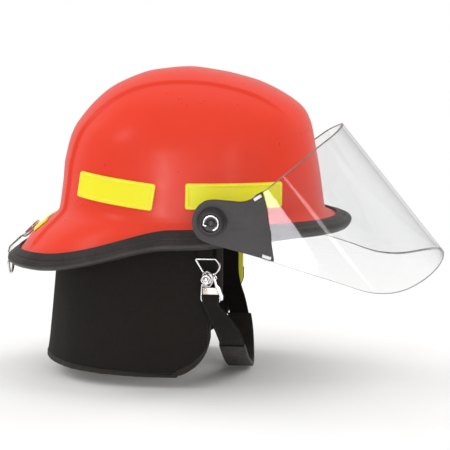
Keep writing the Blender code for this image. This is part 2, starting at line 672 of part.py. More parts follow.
add(sleeve(), CLOTH)
for side, word in ((-1, "right"), (1, "left")):
    low, high = sorted((side * 94.8, side * 104.6))
    add(box("strap_anchor_" + word, (21, low, -1), (39, high, 11), 1.2), INNER_PLASTIC)
    o = 2.6 if side < 0 else 0.0  # on the left the strap's end lies between the anchor and its rivet
    add(turned("anchor_rivet_" + word, [(0, -90.2 - o), (3, -90.4 - o), (4.6, -91.2 - o), (4.6, -91.9 - o), (0, -91.9 - o)], (30, 0, 4),
               "-y" if side > 0 else "y", 12), STEEL, 1.0)

# right side clip hardware, hanging outside the curtain
CLIP_Y = -104.6
low_tab = box("ring_hanger", (20, -105.5, -24.8), (35, -103.7, -1.6), 0.4)
add(low_tab, WEBBING)
ring = [(18.5, -27), (36.2, -27), (41, -31.5), (40.4, -38.4), (37.6, -40.8), (22.5, -40.8), (18.6, -37), (17.5, -31)]
add(wire("strap_ring", [(x, CLIP_Y, z) for x, z in ring], 1.3, True, (27, CLIP_Y, -27), 1), STEEL, 1.0)
hook = [(24.2, -43.2), (27, -42.4), (31, -42.4), (34, -44), (34.4, -52), (32, -55), (26.5, -55), (24, -52)]
add(plate("snap_hook", rounded(hook, 2, 2), CLIP_Y - 1.8, CLIP_Y + 1.4, origin_xz=(29, -42.4)), STEEL, 1.0)
lever = [(35.6, -42.8), (37.6, -43), (39.8, -50), (42.4, -52), (42.2, -56), (39.6, -56.5), (37.4, -52.5)]
add(plate("hook_lever", rounded(lever, 1, 2), CLIP_Y - 1.4, CLIP_Y + 0.6, origin_xz=(36.6, -44)), STEEL, 1.0)
loop = [(25.2, -57.6), (34.6, -57.6), (41.5, -66), (39.5, -68.5), (25.5, -68.5), (23.2, -66)]
add(wire("strap_loop", [(x, CLIP_Y, z) for x, z in loop], 1.1, True, (29, CLIP_Y, -57.6), 1), STEEL, 1.0)

# ---- rear hanger ----
EDGE = shell_base(math.pi, STATIONS)
DOWN = (EDGE - shell_base(math.pi, 14.2)).normalized()
UP = Vector((DOWN.z, 0, -DOWN.x))
if UP.z < 0:
    UP = -UP


def on_brim(s, n):
    return EDGE + DOWN * s + UP * n


S = SPINE_RAISE
plate_path = [on_brim(-29, S + 1.7), on_brim(-16.5, S + 1.7), on_brim(-14.5, S + 5.2), on_brim(3, S + 5.2), on_brim(8.6, S + 1.5), on_brim(9.4, -2.6)]
add(swept_strip("rear_hanger_plate", [tuple(p) for p in plate_path], 6, 1.6), STEEL, 1.0)
for y, word in ((-3.0, "right"), (3.0, "left")):
    rivet = turned("rear_rivet_" + word, [(0, 1.2), (1.4, 1.0), (2.1, 0.2), (2.1, 0), (0, 0)], (0, 0, 0), "z", 10)
    spot = on_brim(-26, S + 2.9) + Vector((0, y, 0))
    rivet.matrix_world = Matrix.Translation(spot * MM) @ UP.to_track_quat("Z", "Y").to_matrix().to_4x4()
    add(rivet, STEEL, 1.0)
BAIL = on_brim(-20, S + 4.3)
bail = [on_brim(-20, S + 4.3), on_brim(-31.5, S + 4.6), on_brim(-35, S + 5.0)]
loop3 = [bail[0] + Vector((0, -8.6, 0)), bail[1] + Vector((0, -8.6, 0)), bail[2] + Vector((0, -5.5, 0)),
         bail[2] + Vector((0, 5.5, 0)), bail[1] + Vector((0, 8.6, 0)), bail[0] + Vector((0, 8.6, 0))]
add(wire("rear_wire_loop", [tuple(p) for p in loop3], 1.1, True, tuple(BAIL), 1), STEEL, 1.0)
RING = Vector((-183.4, 0, -46.0))
d = [(-9, 0), (9, 0), (9.5, -6), (6.5, -12), (0, -14.5), (-6.5, -12), (-9.5, -6)]
add(wire("rear_d_ring", [(RING.x, y, RING.z + z) for y, z in d], 1.3, True, tuple(RING), 1), STEEL, 1.0)
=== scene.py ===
"""Looks of the firefighter helmet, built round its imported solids. Lengths inside the functions are millimetres."""

import json
import math

import bmesh
import bpy
import numpy as np
from mathutils import Matrix, Vector


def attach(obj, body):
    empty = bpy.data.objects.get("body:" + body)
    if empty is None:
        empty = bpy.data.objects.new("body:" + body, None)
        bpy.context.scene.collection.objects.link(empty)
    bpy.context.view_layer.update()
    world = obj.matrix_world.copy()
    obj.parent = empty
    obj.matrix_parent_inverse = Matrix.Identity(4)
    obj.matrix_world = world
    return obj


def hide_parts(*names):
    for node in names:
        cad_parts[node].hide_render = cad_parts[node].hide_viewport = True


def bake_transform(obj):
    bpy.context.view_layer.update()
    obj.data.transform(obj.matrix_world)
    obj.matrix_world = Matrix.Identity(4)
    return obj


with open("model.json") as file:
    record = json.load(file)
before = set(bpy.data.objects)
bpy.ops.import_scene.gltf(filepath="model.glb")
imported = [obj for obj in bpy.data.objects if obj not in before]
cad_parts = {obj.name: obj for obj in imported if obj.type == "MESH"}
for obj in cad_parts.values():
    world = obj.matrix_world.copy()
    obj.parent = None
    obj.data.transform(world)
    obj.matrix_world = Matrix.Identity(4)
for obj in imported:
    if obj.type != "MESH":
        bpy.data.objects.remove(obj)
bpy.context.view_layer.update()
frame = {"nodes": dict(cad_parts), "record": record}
nodes = frame["nodes"]
BODY = {n: body for body, names in frame["record"]["behaviour"]["bodies"].items() for n in names}
MM = 0.001

# ---------------------------------------------------------------- camera, lights, world
scene = bpy.context.scene
scene.view_settings.view_transform = "Standard"
scene.view_settings.look = "None"

cam = bpy.data.objects.new("camera", bpy.data.cameras.new("camera"))
scene.collection.objects.link(cam)
cam.data.lens = 136.0
cam.data.sensor_width = 36.0
cam.data.clip_start, cam.data.clip_end = 0.05, 60.0
target = Vector((0.0352, 0.0, -0.0086))
cam.location = (0.2112, -1.6742, 0.2280)
cam.rotation_mode = "QUATERNION"
cam.rotation_quaternion = (target - cam.location).to_track_quat("-Z", "Y")
scene.camera = cam


def area_light(name, place, aim, size, power, color=(1, 1, 1)):
    data = bpy.data.lights.new(name, "AREA")
    data.shape = "RECTANGLE"
    data.size, data.size_y = size
    data.energy = power
    data.color = color
    obj = bpy.data.objects.new(name, data)
    obj.location = place
    obj.rotation_mode = "QUATERNION"
    obj.rotation_quaternion = (Vector(aim) - Vector(place)).to_track_quat("-Z", "Y")
    obj.visible_camera = False
    scene.collection.objects.link(obj)
    return obj


area_light("soft_left", (-0.62, -2.3, 0.55), (0, 0, 0.03), (0.24, 0.30), 2.6)
area_light("soft_right", (1.05, -1.9, 0.52), (0.05, 0, 0.03), (0.20, 0.30), 0.6)
overhead = area_light("overhead", (-0.1, 0.25, 2.3), (0, 0, 0), (1.8, 1.5), 9)
overhead.visible_glossy = False
for light in (area_light("back_left", (-1.9, 0.9, 1.1), (-0.1, 0, 0.05), (0.9, 1.1), 11),
              area_light("back_right", (1.9, 1.1, 1.0), (0.1, 0, 0.03), (0.9, 1.1), 9)):
    light.visible_glossy = False
glare = area_light("low_front", (-0.02, -1.12, -0.10), (0.1, -0.13, -0.02), (0.20, 0.34), 1.6, (0.95, 0.93, 1.0))
glare.visible_diffuse = False
area_light("top_left_strip", (-1.35, -0.75, 1.15), (-0.08, -0.03, 0.09), (0.16, 0.5), 1.0)

world = bpy.data.worlds.new("studio")
scene.world = world
world.use_nodes = True
wt = world.node_tree
wt.nodes.clear()
w_out = wt.nodes.new("ShaderNodeOutputWorld")
w_coord = wt.nodes.new("ShaderNodeTexCoord")
w_split = wt.nodes.new("ShaderNodeSeparateXYZ")
w_map = wt.nodes.new("ShaderNodeMapRange")
w_map.inputs["From Min"].default_value, w_map.inputs["From Max"].default_value = -0.55, 0.55
w_map.inputs["To Min"].default_value, w_map.inputs["To Max"].default_value = 1.08, 1.12
w_map.interpolation_type = "SMOOTHSTEP"
w_room = wt.nodes.new("ShaderNodeBackground")
w_seen = wt.nodes.new("ShaderNodeBackground")
w_seen.inputs["Strength"].default_value = 1.0
w_seen.inputs["Color"].default_value = (1, 1, 1, 1)
w_path = wt.nodes.new("ShaderNodeLightPath")
w_mix = wt.nodes.new("ShaderNodeMixShader")
wt.links.new(w_coord.outputs["Generated"], w_split.inputs[0])
wt.links.new(w_split.outputs["Y"], w_map.inputs["Value"])
wt.links.new(w_map.outputs["Result"], w_room.inputs["Strength"])
w_dark = wt.nodes.new("ShaderNodeMapRange")
w_dark.inputs["From Min"].default_value, w_dark.inputs["From Max"].default_value = -0.35, 0.75
w_dark.inputs["To Min"].default_value, w_dark.inputs["To Max"].default_value = 0.09, 0.62
w_dark.interpolation_type = "SMOOTHSTEP"
w_mirror = wt.nodes.new("ShaderNodeBackground")
w_kind = wt.nodes.new("ShaderNodeMixShader")
wt.links.new(w_split.outputs["Y"], w_dark.inputs["Value"])
wt.links.new(w_dark.outputs["Result"], w_mirror.inputs["Strength"])
wt.links.new(w_path.outputs["Is Glossy Ray"], w_kind.inputs["Fac"])
wt.links.new(w_room.outputs[0], w_kind.inputs[1])
wt.links.new(w_mirror.outputs[0], w_kind.inputs[2])
wt.links.new(w_path.outputs["Is Camera Ray"], w_mix.inputs["Fac"])
wt.links.new(w_kind.outputs[0], w_mix.inputs[1])
wt.links.new(w_seen.outputs[0], w_mix.inputs[2])
wt.links.new(w_mix.outputs[0], w_out.inputs["Surface"])


# ---------------------------------------------------------------- materials
class Look:
    """A Principled material whose colour, roughness and surface come from patterns."""

    def __init__(self, name, color, rough, metallic=0.0, coat=0.0, coat_rough=0.1, sheen=0.0, ior=1.5, spec=0.5, sheen_rough=0.5):
        self.mat = bpy.data.materials.new(name)
        self.mat.use_nodes = True
        self.tree = self.mat.node_tree
        self.shader = self.tree.nodes["Principled BSDF"]
        s = self.shader.inputs
        s["Base Color"].default_value = (*color, 1)
        s["Roughness"].default_value = rough
        s["Metallic"].default_value = metallic
        s["IOR"].default_value = ior
        s["Specular IOR Level"].default_value = spec
        s["Coat Weight"].default_value = coat
        s["Coat Roughness"].default_value = coat_rough
        s["Sheen Weight"].default_value = sheen
        s["Sheen Roughness"].default_value = sheen_rough
        self.mat.diffuse_color = (*color, 1)
        self.height = None

    def node(self, kind, **values):
        n = self.tree.nodes.new(kind)
        for key, value in values.items():
            if key in n.inputs:
                n.inputs[key].default_value = value
            else:
                setattr(n, key, value)
        return n

    def link(self, a, b):
        self.tree.links.new(a, b)

    def coords(self, kind="Object", scale=(1, 1, 1), rotation=(0, 0, 0)):
        c = self.node("ShaderNodeTexCoord")
        m = self.node("ShaderNodeMapping")
        m.inputs["Scale"].default_value = scale
        m.inputs["Rotation"].default_value = rotation
        self.link(c.outputs[kind], m.inputs["Vector"])
        return m.outputs["Vector"]

    def noise(self, scale, detail=2.0, rough=0.5, where=None, distortion=0.0):
        n = self.node("ShaderNodeTexNoise", Scale=scale, Detail=detail, Roughness=rough, Distortion=distortion)
        self.link(where or self.coords(), n.inputs["Vector"])
        return n.outputs["Fac"]

    def voronoi(self, scale, feature="F1", where=None, randomness=1.0, out="Distance"):
        n = self.node("ShaderNodeTexVoronoi", feature=feature)
        n.inputs["Scale"].default_value = scale
        n.inputs["Randomness"].default_value = randomness
        self.link(where or self.coords(), n.inputs["Vector"])
        return n.outputs[out]

    def wave(self, scale, where, direction="X", profile="SIN", distortion=0.0, detail=0.0):
        n = self.node("ShaderNodeTexWave", wave_type="BANDS", bands_direction=direction, wave_profile=profile)
        n.inputs["Scale"].default_value = scale
        n.inputs["Distortion"].default_value = distortion
        n.inputs["Detail"].default_value = detail
        self.link(where, n.inputs["Vector"])
        return n.outputs["Fac"]

    def math(self, op, a, b=None, clamp=False):
        n = self.node("ShaderNodeMath", operation=op, use_clamp=clamp)
        for slot, v in zip(n.inputs, (a, b)):
            if v is None:
                continue
            if isinstance(v, (int, float)):
                slot.default_value = v
            else:
                self.link(v, slot)
        return n.outputs[0]

    def remap(self, value, low, high, to_low=0.0, to_high=1.0):
        n = self.node("ShaderNodeMapRange")
        n.inputs["From Min"].default_value, n.inputs["From Max"].default_value = low, high
        n.inputs["To Min"].default_value, n.inputs["To Max"].default_value = to_low, to_high
        self.link(value, n.inputs["Value"])
        return n.outputs["Result"]

    def tint(self, fac, other, low=0.0, high=1.0):
        """Mixes another colour into the colour so far, as fac goes from low to high."""
        n = self.node("ShaderNodeMix", data_type="RGBA")
        base = self.shader.inputs["Base Color"]
        self.link(self.remap(fac, low, high), n.inputs["Factor"])
        if base.is_linked:
            self.link(base.links[0].from_socket, n.inputs["A"])
        else:
            n.inputs["A"].default_value = base.default_value
        n.inputs["B"].default_value = (*other, 1)
        self.link(n.outputs["Result"], base)
        return self

    def gloss(self, fac, low, high, a=0.3, b=0.7):
        """Roughness goes from low to high as fac goes from a to b."""
        self.link(self.remap(fac, a, b, low, high), self.shader.inputs["Roughness"])
        return self

    def bump(self, fac, distance, strength=1.0):
        n = self.node("ShaderNodeBump")
        n.inputs["Strength"].default_value = strength
        n.inputs["Distance"].default_value = distance
        self.link(fac, n.inputs["Height"])
        normal = self.shader.inputs["Normal"]
        if normal.is_linked:
            self.link(normal.links[0].from_socket, n.inputs["Normal"])
        self.link(n.outputs["Normal"], normal)
        return self


def moulded(name, color, other, rough, grain=2600, depth=0.00003, coat=0.0, spread=0.06):
    m = Look(name, color, rough, coat=coat)
    m.tint(m.noise(45, 4, 0.6), other, 0.38, 0.68)
    m.gloss(m.noise(160, 3, 0.6), rough - spread, rough + spread)
    m.bump(m.noise(grain, 2, 0.6), depth)
    return m


red = Look("red_gloss_shell", (0.90, 0.044, 0.014), 0.30, coat=0.12, coat_rough=0.2)
red.tint(red.noise(9, 3, 0.5), (0.88, 0.041, 0.013), 0.35, 0.65)
red.tint(red.noise(3, 2, 0.5), (0.90, 0.048, 0.016), 0.40, 0.62)
red.gloss(red.noise(60, 4, 0.65), 0.27, 0.35)
red.bump(red.noise(14, 1, 0.3), 0.00002)

# The inside of the shell is the same red plastic, painted at about half the outer brightness: painted shade inside the
# shell.
red_inside = moulded("red_shell_inside", (0.46, 0.035, 0.018), (0.36, 0.028, 0.015), 0.55, 900, 0.0001)
rubber = Look("trim_rubber", (0.034, 0.028, 0.0255), 0.46, spec=0.5)
rubber.tint(rubber.noise(38, 5, 0.65), (0.052, 0.044, 0.040), 0.42, 0.70)
rubber.tint(rubber.noise(700, 2, 0.6), (0.024, 0.020, 0.018), 0.55, 0.75)
rubber.gloss(rubber.noise(120, 4, 0.6), 0.40, 0.56)
rubber.bump(rubber.noise(1600, 2, 0.6), 0.00003)

lime = Look("lime_prismatic_tape", (0.95, 0.86, 0.012), 0.36, coat=0.15, coat_rough=0.1)
cells = lime.coords("UV", (1, 1, 1))
lime.tint(lime.voronoi(620, "DISTANCE_TO_EDGE", cells, 0.0), (0.86, 0.84, 0.02), 0.10, 0.02)
lime.tint(lime.noise(30, 2, 0.5), (0.92, 0.87, 0.012), 0.4, 0.65)
# The tape is given a faint glow of its own: painted light standing in for its bright look under the lamps.
lime.shader.inputs["Emission Color"].default_value = (0.95, 0.86, 0.01, 1)
lime.shader.inputs["Emission Strength"].default_value = 0.07
lime.gloss(lime.noise(200, 2, 0.5), 0.28, 0.42)
lime.bump(lime.voronoi(620, "F1", cells, 0.0), 0.00004)
lime_rim = Look("lime_tape_rim", (0.93, 0.90, 0.02), 0.34, coat=0.15, coat_rough=0.1)
# The tape's border glows too, a little more than the tape: painted light.
lime_rim.shader.inputs["Emission Color"].default_value = (0.95, 0.88, 0.01, 1)
lime_rim.shader.inputs["Emission Strength"].default_value = 0.09
lime_rim.tint(lime_rim.noise(120, 3, 0.5), (0.92, 0.78, 0.05), 0.4, 0.6)
lime_rim.bump(lime_rim.noise(900, 1, 0.5), 0.00001)

bracket = Look("bracket_plastic", (0.058, 0.051, 0.053), 0.50)
bracket.tint(bracket.noise(26, 4, 0.6), (0.070, 0.063, 0.064), 0.40, 0.68)
bracket.tint(bracket.noise(1400, 2, 0.7), (0.058, 0.052, 0.054), 0.55, 0.80)
bracket.gloss(bracket.noise(240, 3, 0.6), 0.44, 0.56)
bracket.bump(bracket.noise(2400, 2, 0.6), 0.00004)
black_plastic = moulded("black_moulded", (0.030, 0.028, 0.028), (0.042, 0.039, 0.038), 0.46)
knob_black = moulded("knob_black", (0.034, 0.030, 0.031), (0.048, 0.044, 0.044), 0.36, spread=0.08)
steel_dark = Look("dark_steel", (0.10, 0.095, 0.09), 0.38, metallic=1.0)
steel_dark.gloss(steel_dark.noise(400, 3, 0.6), 0.30, 0.48)
steel_dark.tint(steel_dark.noise(90, 3, 0.6), (0.16, 0.15, 0.14), 0.4, 0.7)


def plated(name, color, other, rough, grain=(60, 60, 900)):
    m = Look(name, color, rough, metallic=1.0)
    streak = m.noise(14, 3, 0.6, m.coords("Object", grain))
    m.tint(m.noise(70, 4, 0.6), other, 0.42, 0.72)
    m.gloss(streak, rough - 0.07, rough + 0.09)
    m.bump(streak, 0.000012)
    return m


steel = plated("bright_plated_steel", (0.83, 0.82, 0.80), (0.62, 0.60, 0.57), 0.20)
steel_mid = plated("worn_plated_steel", (0.52, 0.50, 0.48), (0.30, 0.29, 0.28), 0.26)
nickel = plated("warm_nickel", (0.90, 0.74, 0.62), (0.78, 0.62, 0.50), 0.34)

foam = Look("liner_foam", (0.050, 0.050, 0.052), 0.86, spec=0.3)
beads = foam.voronoi(330, "DISTANCE_TO_EDGE")
# The creases between the beads are painted darker: painted shade in the seams.
foam.tint(beads, (0.022, 0.022, 0.023), 0.10, 0.0)
foam.tint(foam.noise(60, 3), (0.065, 0.064, 0.063), 0.45, 0.7)
foam.bump(foam.voronoi(330, "F1"), 0.0004, 0.6)


def woven(name, color, other, threads, depth=0.00012, sheen=0.25, rough=0.92, kind="UV"):
    """Plain weave: two crossed thread waves, their crowns in turn over and under."""
    m = Look(name, color, rough, sheen=sheen, spec=0.25, sheen_rough=0.6)
    where = m.coords(kind)
    a = m.wave(threads, where, "X")
    b = m.wave(threads, where, "Y")
    half = m.coords(kind, (0.5, 0.5, 0.5))
    over = m.math("GREATER_THAN", m.math("MULTIPLY", m.math("SUBTRACT", m.wave(threads, half, "X"), 0.5),
                                         m.math("SUBTRACT", m.wave(threads, half, "Y"), 0.5)), 0.0)
    height = m.math("ADD", m.math("MULTIPLY", a, over), m.math("MULTIPLY", b, m.math("SUBTRACT", 1.0, over)))
    # The low places between the threads are painted darker: painted shade in the weave's hollows.
    m.tint(height, other, 0.45, 0.0)
    m.tint(m.noise(22, 4, 0.65), tuple(0.75 * c + 0.25 * o for c, o in zip(color, other)), 0.45, 0.75)
    m.gloss(m.noise(300, 3, 0.6), rough - 0.06, min(rough + 0.06, 1.0))
    m.bump(m.noise(2300, 3, 0.75), depth * 0.5)
    m.bump(height, depth)
    return m


cloth = woven("black_curtain_cloth", (0.0140, 0.0108, 0.0086), (0.0085, 0.0066, 0.0053), 300, 0.00010, 0.04)
lining = woven("yellow_lining_cloth", (0.92, 0.88, 0.07), (0.70, 0.62, 0.04), 300, 0.00014, 0.1)
# The lining is given a faint glow of its own: painted light, not a lamp.
lining.shader.inputs["Emission Color"].default_value = (0.9, 0.86, 0.05, 1)
lining.shader.inputs["Emission Strength"].default_value = 0.10
binding = woven("binding_tape", (0.034, 0.026, 0.021), (0.016, 0.013, 0.011), 520, 0.00012, 0.1)


def webbing_look(name, color, other):
    m = Look(name, color, 0.80, sheen=0.03, spec=0.18)
    where = m.coords("UV")
    rows = m.wave(330, where, "Y")
    zig = m.wave(260, m.coords("UV", rotation=(0, 0, math.radians(38))), "X", "TRI")
    zag = m.wave(260, m.coords("UV", rotation=(0, 0, math.radians(-38))), "X", "TRI")
    cross = m.math("MAXIMUM", zig, zag)
    height = m.math("MULTIPLY", cross, m.math("ADD", m.math("MULTIPLY", rows, 0.5), 0.5))
    # The low places of the weave are painted darker: painted shade in the webbing's hollows.
    m.tint(height, other, 0.55, 0.15)
    m.gloss(m.noise(260, 3, 0.6), 0.70, 0.86)
    m.bump(m.noise(2600, 2, 0.7), 0.00004)
    m.bump(height, 0.00016)
    return m


webbing = webbing_look("black_webbing", (0.0150, 0.0122, 0.0105), (0.0070, 0.0058, 0.0050))
thread = Look("sewing_thread", (0.030, 0.026, 0.023), 0.7, sheen=0.2)
thread.tint(thread.noise(1500, 2, 0.6), (0.016, 0.014, 0.013), 0.4, 0.6)
thread.bump(thread.noise(2600, 1), 0.00004)
leather = Look("black_grain_leather", (0.022, 0.018, 0.016), 0.58, spec=0.45)
leather.tint(leather.noise(60, 4, 0.6), (0.034, 0.027, 0.023), 0.45, 0.75)
leather.gloss(leather.noise(200, 3), 0.50, 0.68)
leather.bump(leather.voronoi(900, "DISTANCE_TO_EDGE"), 0.00018, 0.6)
pad_cloth = woven("brow_pad_cloth", (0.035, 0.034, 0.034), (0.018, 0.017, 0.017), 420, 0.00012, 0.3, kind="Object")
tape_hooks = Look("hook_tape", (0.018, 0.017, 0.017), 0.8)
tape_hooks.bump(tape_hooks.voronoi(900, "F1", None, 0.2), 0.0005)
tape_hooks.tint(tape_hooks.noise(700, 2), (0.04, 0.038, 0.037), 0.5, 0.7)

# clear polycarbonate: see-through, mirrors by angle, a trace of haze
clear = Look("clear_polycarbonate", (0.92, 0.93, 0.95), 0.12, ior=1.58)
c_facing = clear.node("ShaderNodeLayerWeight")
c_facing.inputs["Blend"].default_value = 0.5
c_fresnel = clear.math("ADD", clear.math("MULTIPLY", clear.math("POWER", c_facing.outputs["Facing"], 5.0), 0.60), 0.034)
c_through = clear.node("ShaderNodeBsdfTransparent")
c_through.inputs["Color"].default_value = (0.973, 0.974, 0.975, 1)
c_mirror = clear.node("ShaderNodeBsdfGlossy")
c_mirror.inputs["Roughness"].default_value = 0.05
c_mirror.inputs["Color"].default_value = (1, 1, 1, 1)
c_bump = clear.node("ShaderNodeBump")
c_bump.inputs["Distance"].default_value = 0.00001
clear.link(clear.noise(40, 2), c_bump.inputs["Height"])
clear.link(c_bump.outputs["Normal"], c_mirror.inputs["Normal"])
c_mix = clear.node("ShaderNodeMixShader")
clear.link(c_fresnel, c_mix.inputs["Fac"])
clear.link(c_through.outputs[0], c_mix.inputs[1])
clear.link(c_mirror.outputs[0], c_mix.inputs[2])
c_haze = clear.node("ShaderNodeMixShader")
clear.link(clear.remap(clear.noise(30, 4, 0.6), 0.4, 0.8, 0.008, 0.022), c_haze.inputs["Fac"])
clear.link(c_mix.outputs[0], c_haze.inputs[1])
clear.link(clear.shader.outputs[0], c_haze.inputs[2])
clear.link(c_haze.outputs[0], clear.tree.nodes["Material Output"].inputs["Surface"])

frosted = Look("shield_tab", (0.80, 0.80, 0.79), 0.3)
frosted.tint(frosted.noise(200, 3), (0.70, 0.70, 0.69), 0.4, 0.7)
# The tabs are given a faint white glow of their own: painted light, not a lamp.
frosted.shader.inputs["Emission Color"].default_value = (1, 1, 1, 1)
frosted.shader.inputs["Emission Strength"].default_value = 0.12
# The clear pane's edges are painted opaque: brown along the top and sides for the dark line the clear edge shows
# (painted shade), light grey along the lower edge for its bright line (painted highlight).
rim = Look("clear_polycarbonate_edge", (0.20, 0.15, 0.13), 0.30)
rim.tint(rim.noise(60, 3), (0.30, 0.25, 0.23), 0.4, 0.6)
rim_low = Look("clear_polycarbonate_lower_edge", (0.36, 0.36, 0.37), 0.30)
rim_low.tint(rim_low.noise(60, 3), (0.46, 0.46, 0.46), 0.4, 0.6)


# ---------------------------------------------------------------- mesh helpers
def mesh_piece(name, points, faces, looks, slots=None, sharp=40, uv=None, tidy=True):
    me = bpy.data.meshes.new(name)
    me.from_pydata((np.asarray(points, float) * MM).tolist(), [], [list(map(int, f)) for f in faces])
    for look in looks:
        me.materials.append(look.mat)
    if slots is not None:
        me.polygons.foreach_set("material_index", np.asarray(slots, np.int32))
    if uv is not None:
        layer = me.uv_layers.new(name="UVMap")
        index = np.empty(len(me.loops), np.int32)
        me.loops.foreach_get("vertex_index", index)
        layer.data.foreach_set("uv", (np.asarray(uv, float)[index] * MM).ravel())
    if tidy:
        bm = bmesh.new()
        bm.from_mesh(me)
        bmesh.ops.recalc_face_normals(bm, faces=bm.faces)
        bm.to_mesh(me)
        bm.free()
    me.update()
    me.shade_smooth()
    if sharp:
        me.set_sharp_from_angle(angle=math.radians(sharp))
    obj = bpy.data.objects.new(name, me)
    scene.collection.objects.link(obj)
    return obj


def quads(rows, cols, wrap=False, base=0, flip=False):
    i, j = np.meshgrid(np.arange(rows - 1), np.arange(cols if wrap else cols - 1), indexing="ij")
    k = (j + 1) % cols
    q = np.stack([i * cols + j, i * cols + k, (i + 1) * cols + k, (i + 1) * cols + j], -1).reshape(-1, 4) + base
    return q[:, ::-1] if flip else q


def grid_uv(grid, wrap=False):
    """Distances along the rows and the columns of a grid, for patterns at real size."""
    g = np.asarray(grid, float)
    across = np.zeros(g.shape[:2])
    down = np.zeros(g.shape[:2])
    across[:, 1:] = np.cumsum(np.linalg.norm(np.diff(g, axis=1), axis=2), axis=1)
    down[1:] = np.cumsum(np.linalg.norm(np.diff(g, axis=0), axis=2), axis=0)
    mid = g.shape[0] // 2
    return np.stack([np.broadcast_to(across[mid], across.shape), down], -1)


def two_sided(name, outer, inner, looks, wrap=False, rim_slot=0, inner_slot=0, sharp=40, uv=True):
    """A closed sheet between two grids of one size."""
    outer, inner = np.asarray(outer, float), np.asarray(inner, float)
    rows, cols = outer.shape[:2]
    base = rows * cols
    faces = [quads(rows, cols, wrap), quads(rows, cols, wrap, base, True)]
    slots = [np.zeros(len(faces[0]), int), np.full(len(faces[1]), inner_slot)]
    last = cols if wrap else cols - 1
    j = np.arange(last)
    k = (j + 1) % cols
    edge = [np.stack([j + i * cols, k + i * cols, base + k + i * cols, base + j + i * cols], -1) for i in (0, rows - 1)]
    if not wrap:
        i = np.arange(rows - 1)
        edge += [np.stack([i * cols + c, (i + 1) * cols + c, base + (i + 1) * cols + c, base + i * cols + c], -1) for c in (0, cols - 1)]
    edge = np.concatenate(edge)
    faces.append(edge)
    slots.append(np.full(len(edge), rim_slot))
    points = np.concatenate([outer.reshape(-1, 3), inner.reshape(-1, 3)])
    where = np.concatenate([grid_uv(outer).reshape(-1, 2), grid_uv(inner).reshape(-1, 2)]) if uv else None
    return mesh_piece(name, points, np.concatenate(faces), looks, np.concatenate(slots), sharp, where)


def put(obj, replaced, body=None):
    """Makes obj stand for CAD nodes, on their body."""
    names = [replaced] if isinstance(replaced, str) else list(replaced)
    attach(obj, body or BODY[names[0]])
    if names:
        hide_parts(*names)
    return obj


def with_body(obj, body):
    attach(obj, body)
    return obj


def catmull(points, steps, closed=False):
    p = np.asarray(points, float)
    n = len(p)
    out = []
    spans = n if closed else n - 1
    for i in range(spans):
        if closed:
            a, b, c, d = p[(i - 1) % n], p[i], p[(i + 1) % n], p[(i + 2) % n]
        else:
            a, b, c, d = p[max(i - 1, 0)], p[i], p[min(i + 1, n - 1)], p[min(i + 2, n - 1)]
        for s in range(steps):
            f = s / steps
            out.append(0.5 * (2 * b + (c - a) * f + (2 * a - 5 * b + 4 * c - d) * f * f + (3 * b - a - 3 * c + d) * f ** 3))
    if not closed:
        out.append(p[-1])
    return np.array(out)


def rounded_path(points, radius, steps=5, closed=True):
    """The same path with each corner a short curve."""
    p = np.asarray(points, float)
    n = len(p)
    out = []
    for i in range(n):
        if not closed and i in (0, n - 1):
            out.append(p[i])
            continue
        a, b, c = p[i - 1], p[i], p[(i + 1) % n]
        u, v = a - b, c - b
        lu, lv = np.linalg.norm(u), np.linalg.norm(v)
        r = radius[i] if isinstance(radius, (list, tuple)) else radius
        cut = min(r, lu * 0.48, lv * 0.48)
        s, e = b + u / lu * cut, b + v / lv * cut
        for t in np.linspace(0, 1, steps + 1):
            out.append((1 - t) ** 2 * s + 2 * t * (1 - t) * b + t * t * e)
    return np.array(out)


def frames(path, closed, first=None):
    """Tangent and two cross directions along a path, without twist."""
    n = len(path)
    if closed:
        tangent = np.roll(path, -1, 0) - np.roll(path, 1, 0)
    else:
        tangent = np.gradient(path, axis=0)
    tangent /= np.linalg.norm(tangent, axis=1, keepdims=True)
    u = np.zeros_like(path)
    start = np.array(first if first is not None else (0.0, 0.0, 1.0))
    if abs(start @ tangent[0]) > 0.95:
        start = np.array((0.0, 1.0, 0.0))
    for i in range(n):
        prev = start if i == 0 else u[i - 1]
        w = prev - tangent[i] * (prev @ tangent[i])
        u[i] = w / np.linalg.norm(w)
    v = np.cross(tangent, u)
    if closed:
        w = u[-1] - tangent[0] * (u[-1] @ tangent[0])
        w /= np.linalg.norm(w)
        turn = math.atan2(w @ v[0], w @ u[0])
        for i in range(n):
            a = -turn * i / n
            cu, su = math.cos(a), math.sin(a)
            u[i], v[i] = cu * u[i] + su * v[i], -su * u[i] + cu * v[i]
    return tangent, u, v


def tube(name, path, radius, look, closed=True, sides=16, flat=1.0, first=None, taper=None, uv=False):
    """A round or flattened tube along a path; flat scales the second cross direction."""
    path = np.asarray(path, float)
    _, u, v = frames(path, closed, first)
    n = len(path)
    r = np.full(n, float(radius)) if taper is None else np.asarray(taper, float) * radius
    angle = np.linspace(0, 2 * math.pi, sides, endpoint=False)
    ring = path[:, None] + r[:, None, None] * (np.cos(angle)[None, :, None] * u[:, None] + flat * np.sin(angle)[None, :, None] * v[:, None])
    points = ring.reshape(-1, 3)
    i, j = np.meshgrid(np.arange(n if closed else n - 1), np.arange(sides), indexing="ij")
    a, b = (i + 1) % n, (j + 1) % sides
    faces = np.stack([i * sides + j, i * sides + b, a * sides + b, a * sides + j], -1).reshape(-1, 4).tolist()
    if not closed:
        for end, sign in ((0, -1), (n - 1, 1)):
            cap = len(points)
            step = (path[end] - path[1 if end == 0 else n - 2])
            step = step / np.linalg.norm(step)
            points = np.vstack([points, path[end] + step * r[end] * 0.45])
            for s in range(sides):
                faces.append([end * sides + s, end * sides + (s + 1) % sides, cap])
    return mesh_piece(name, points, faces, [look], sharp=50)


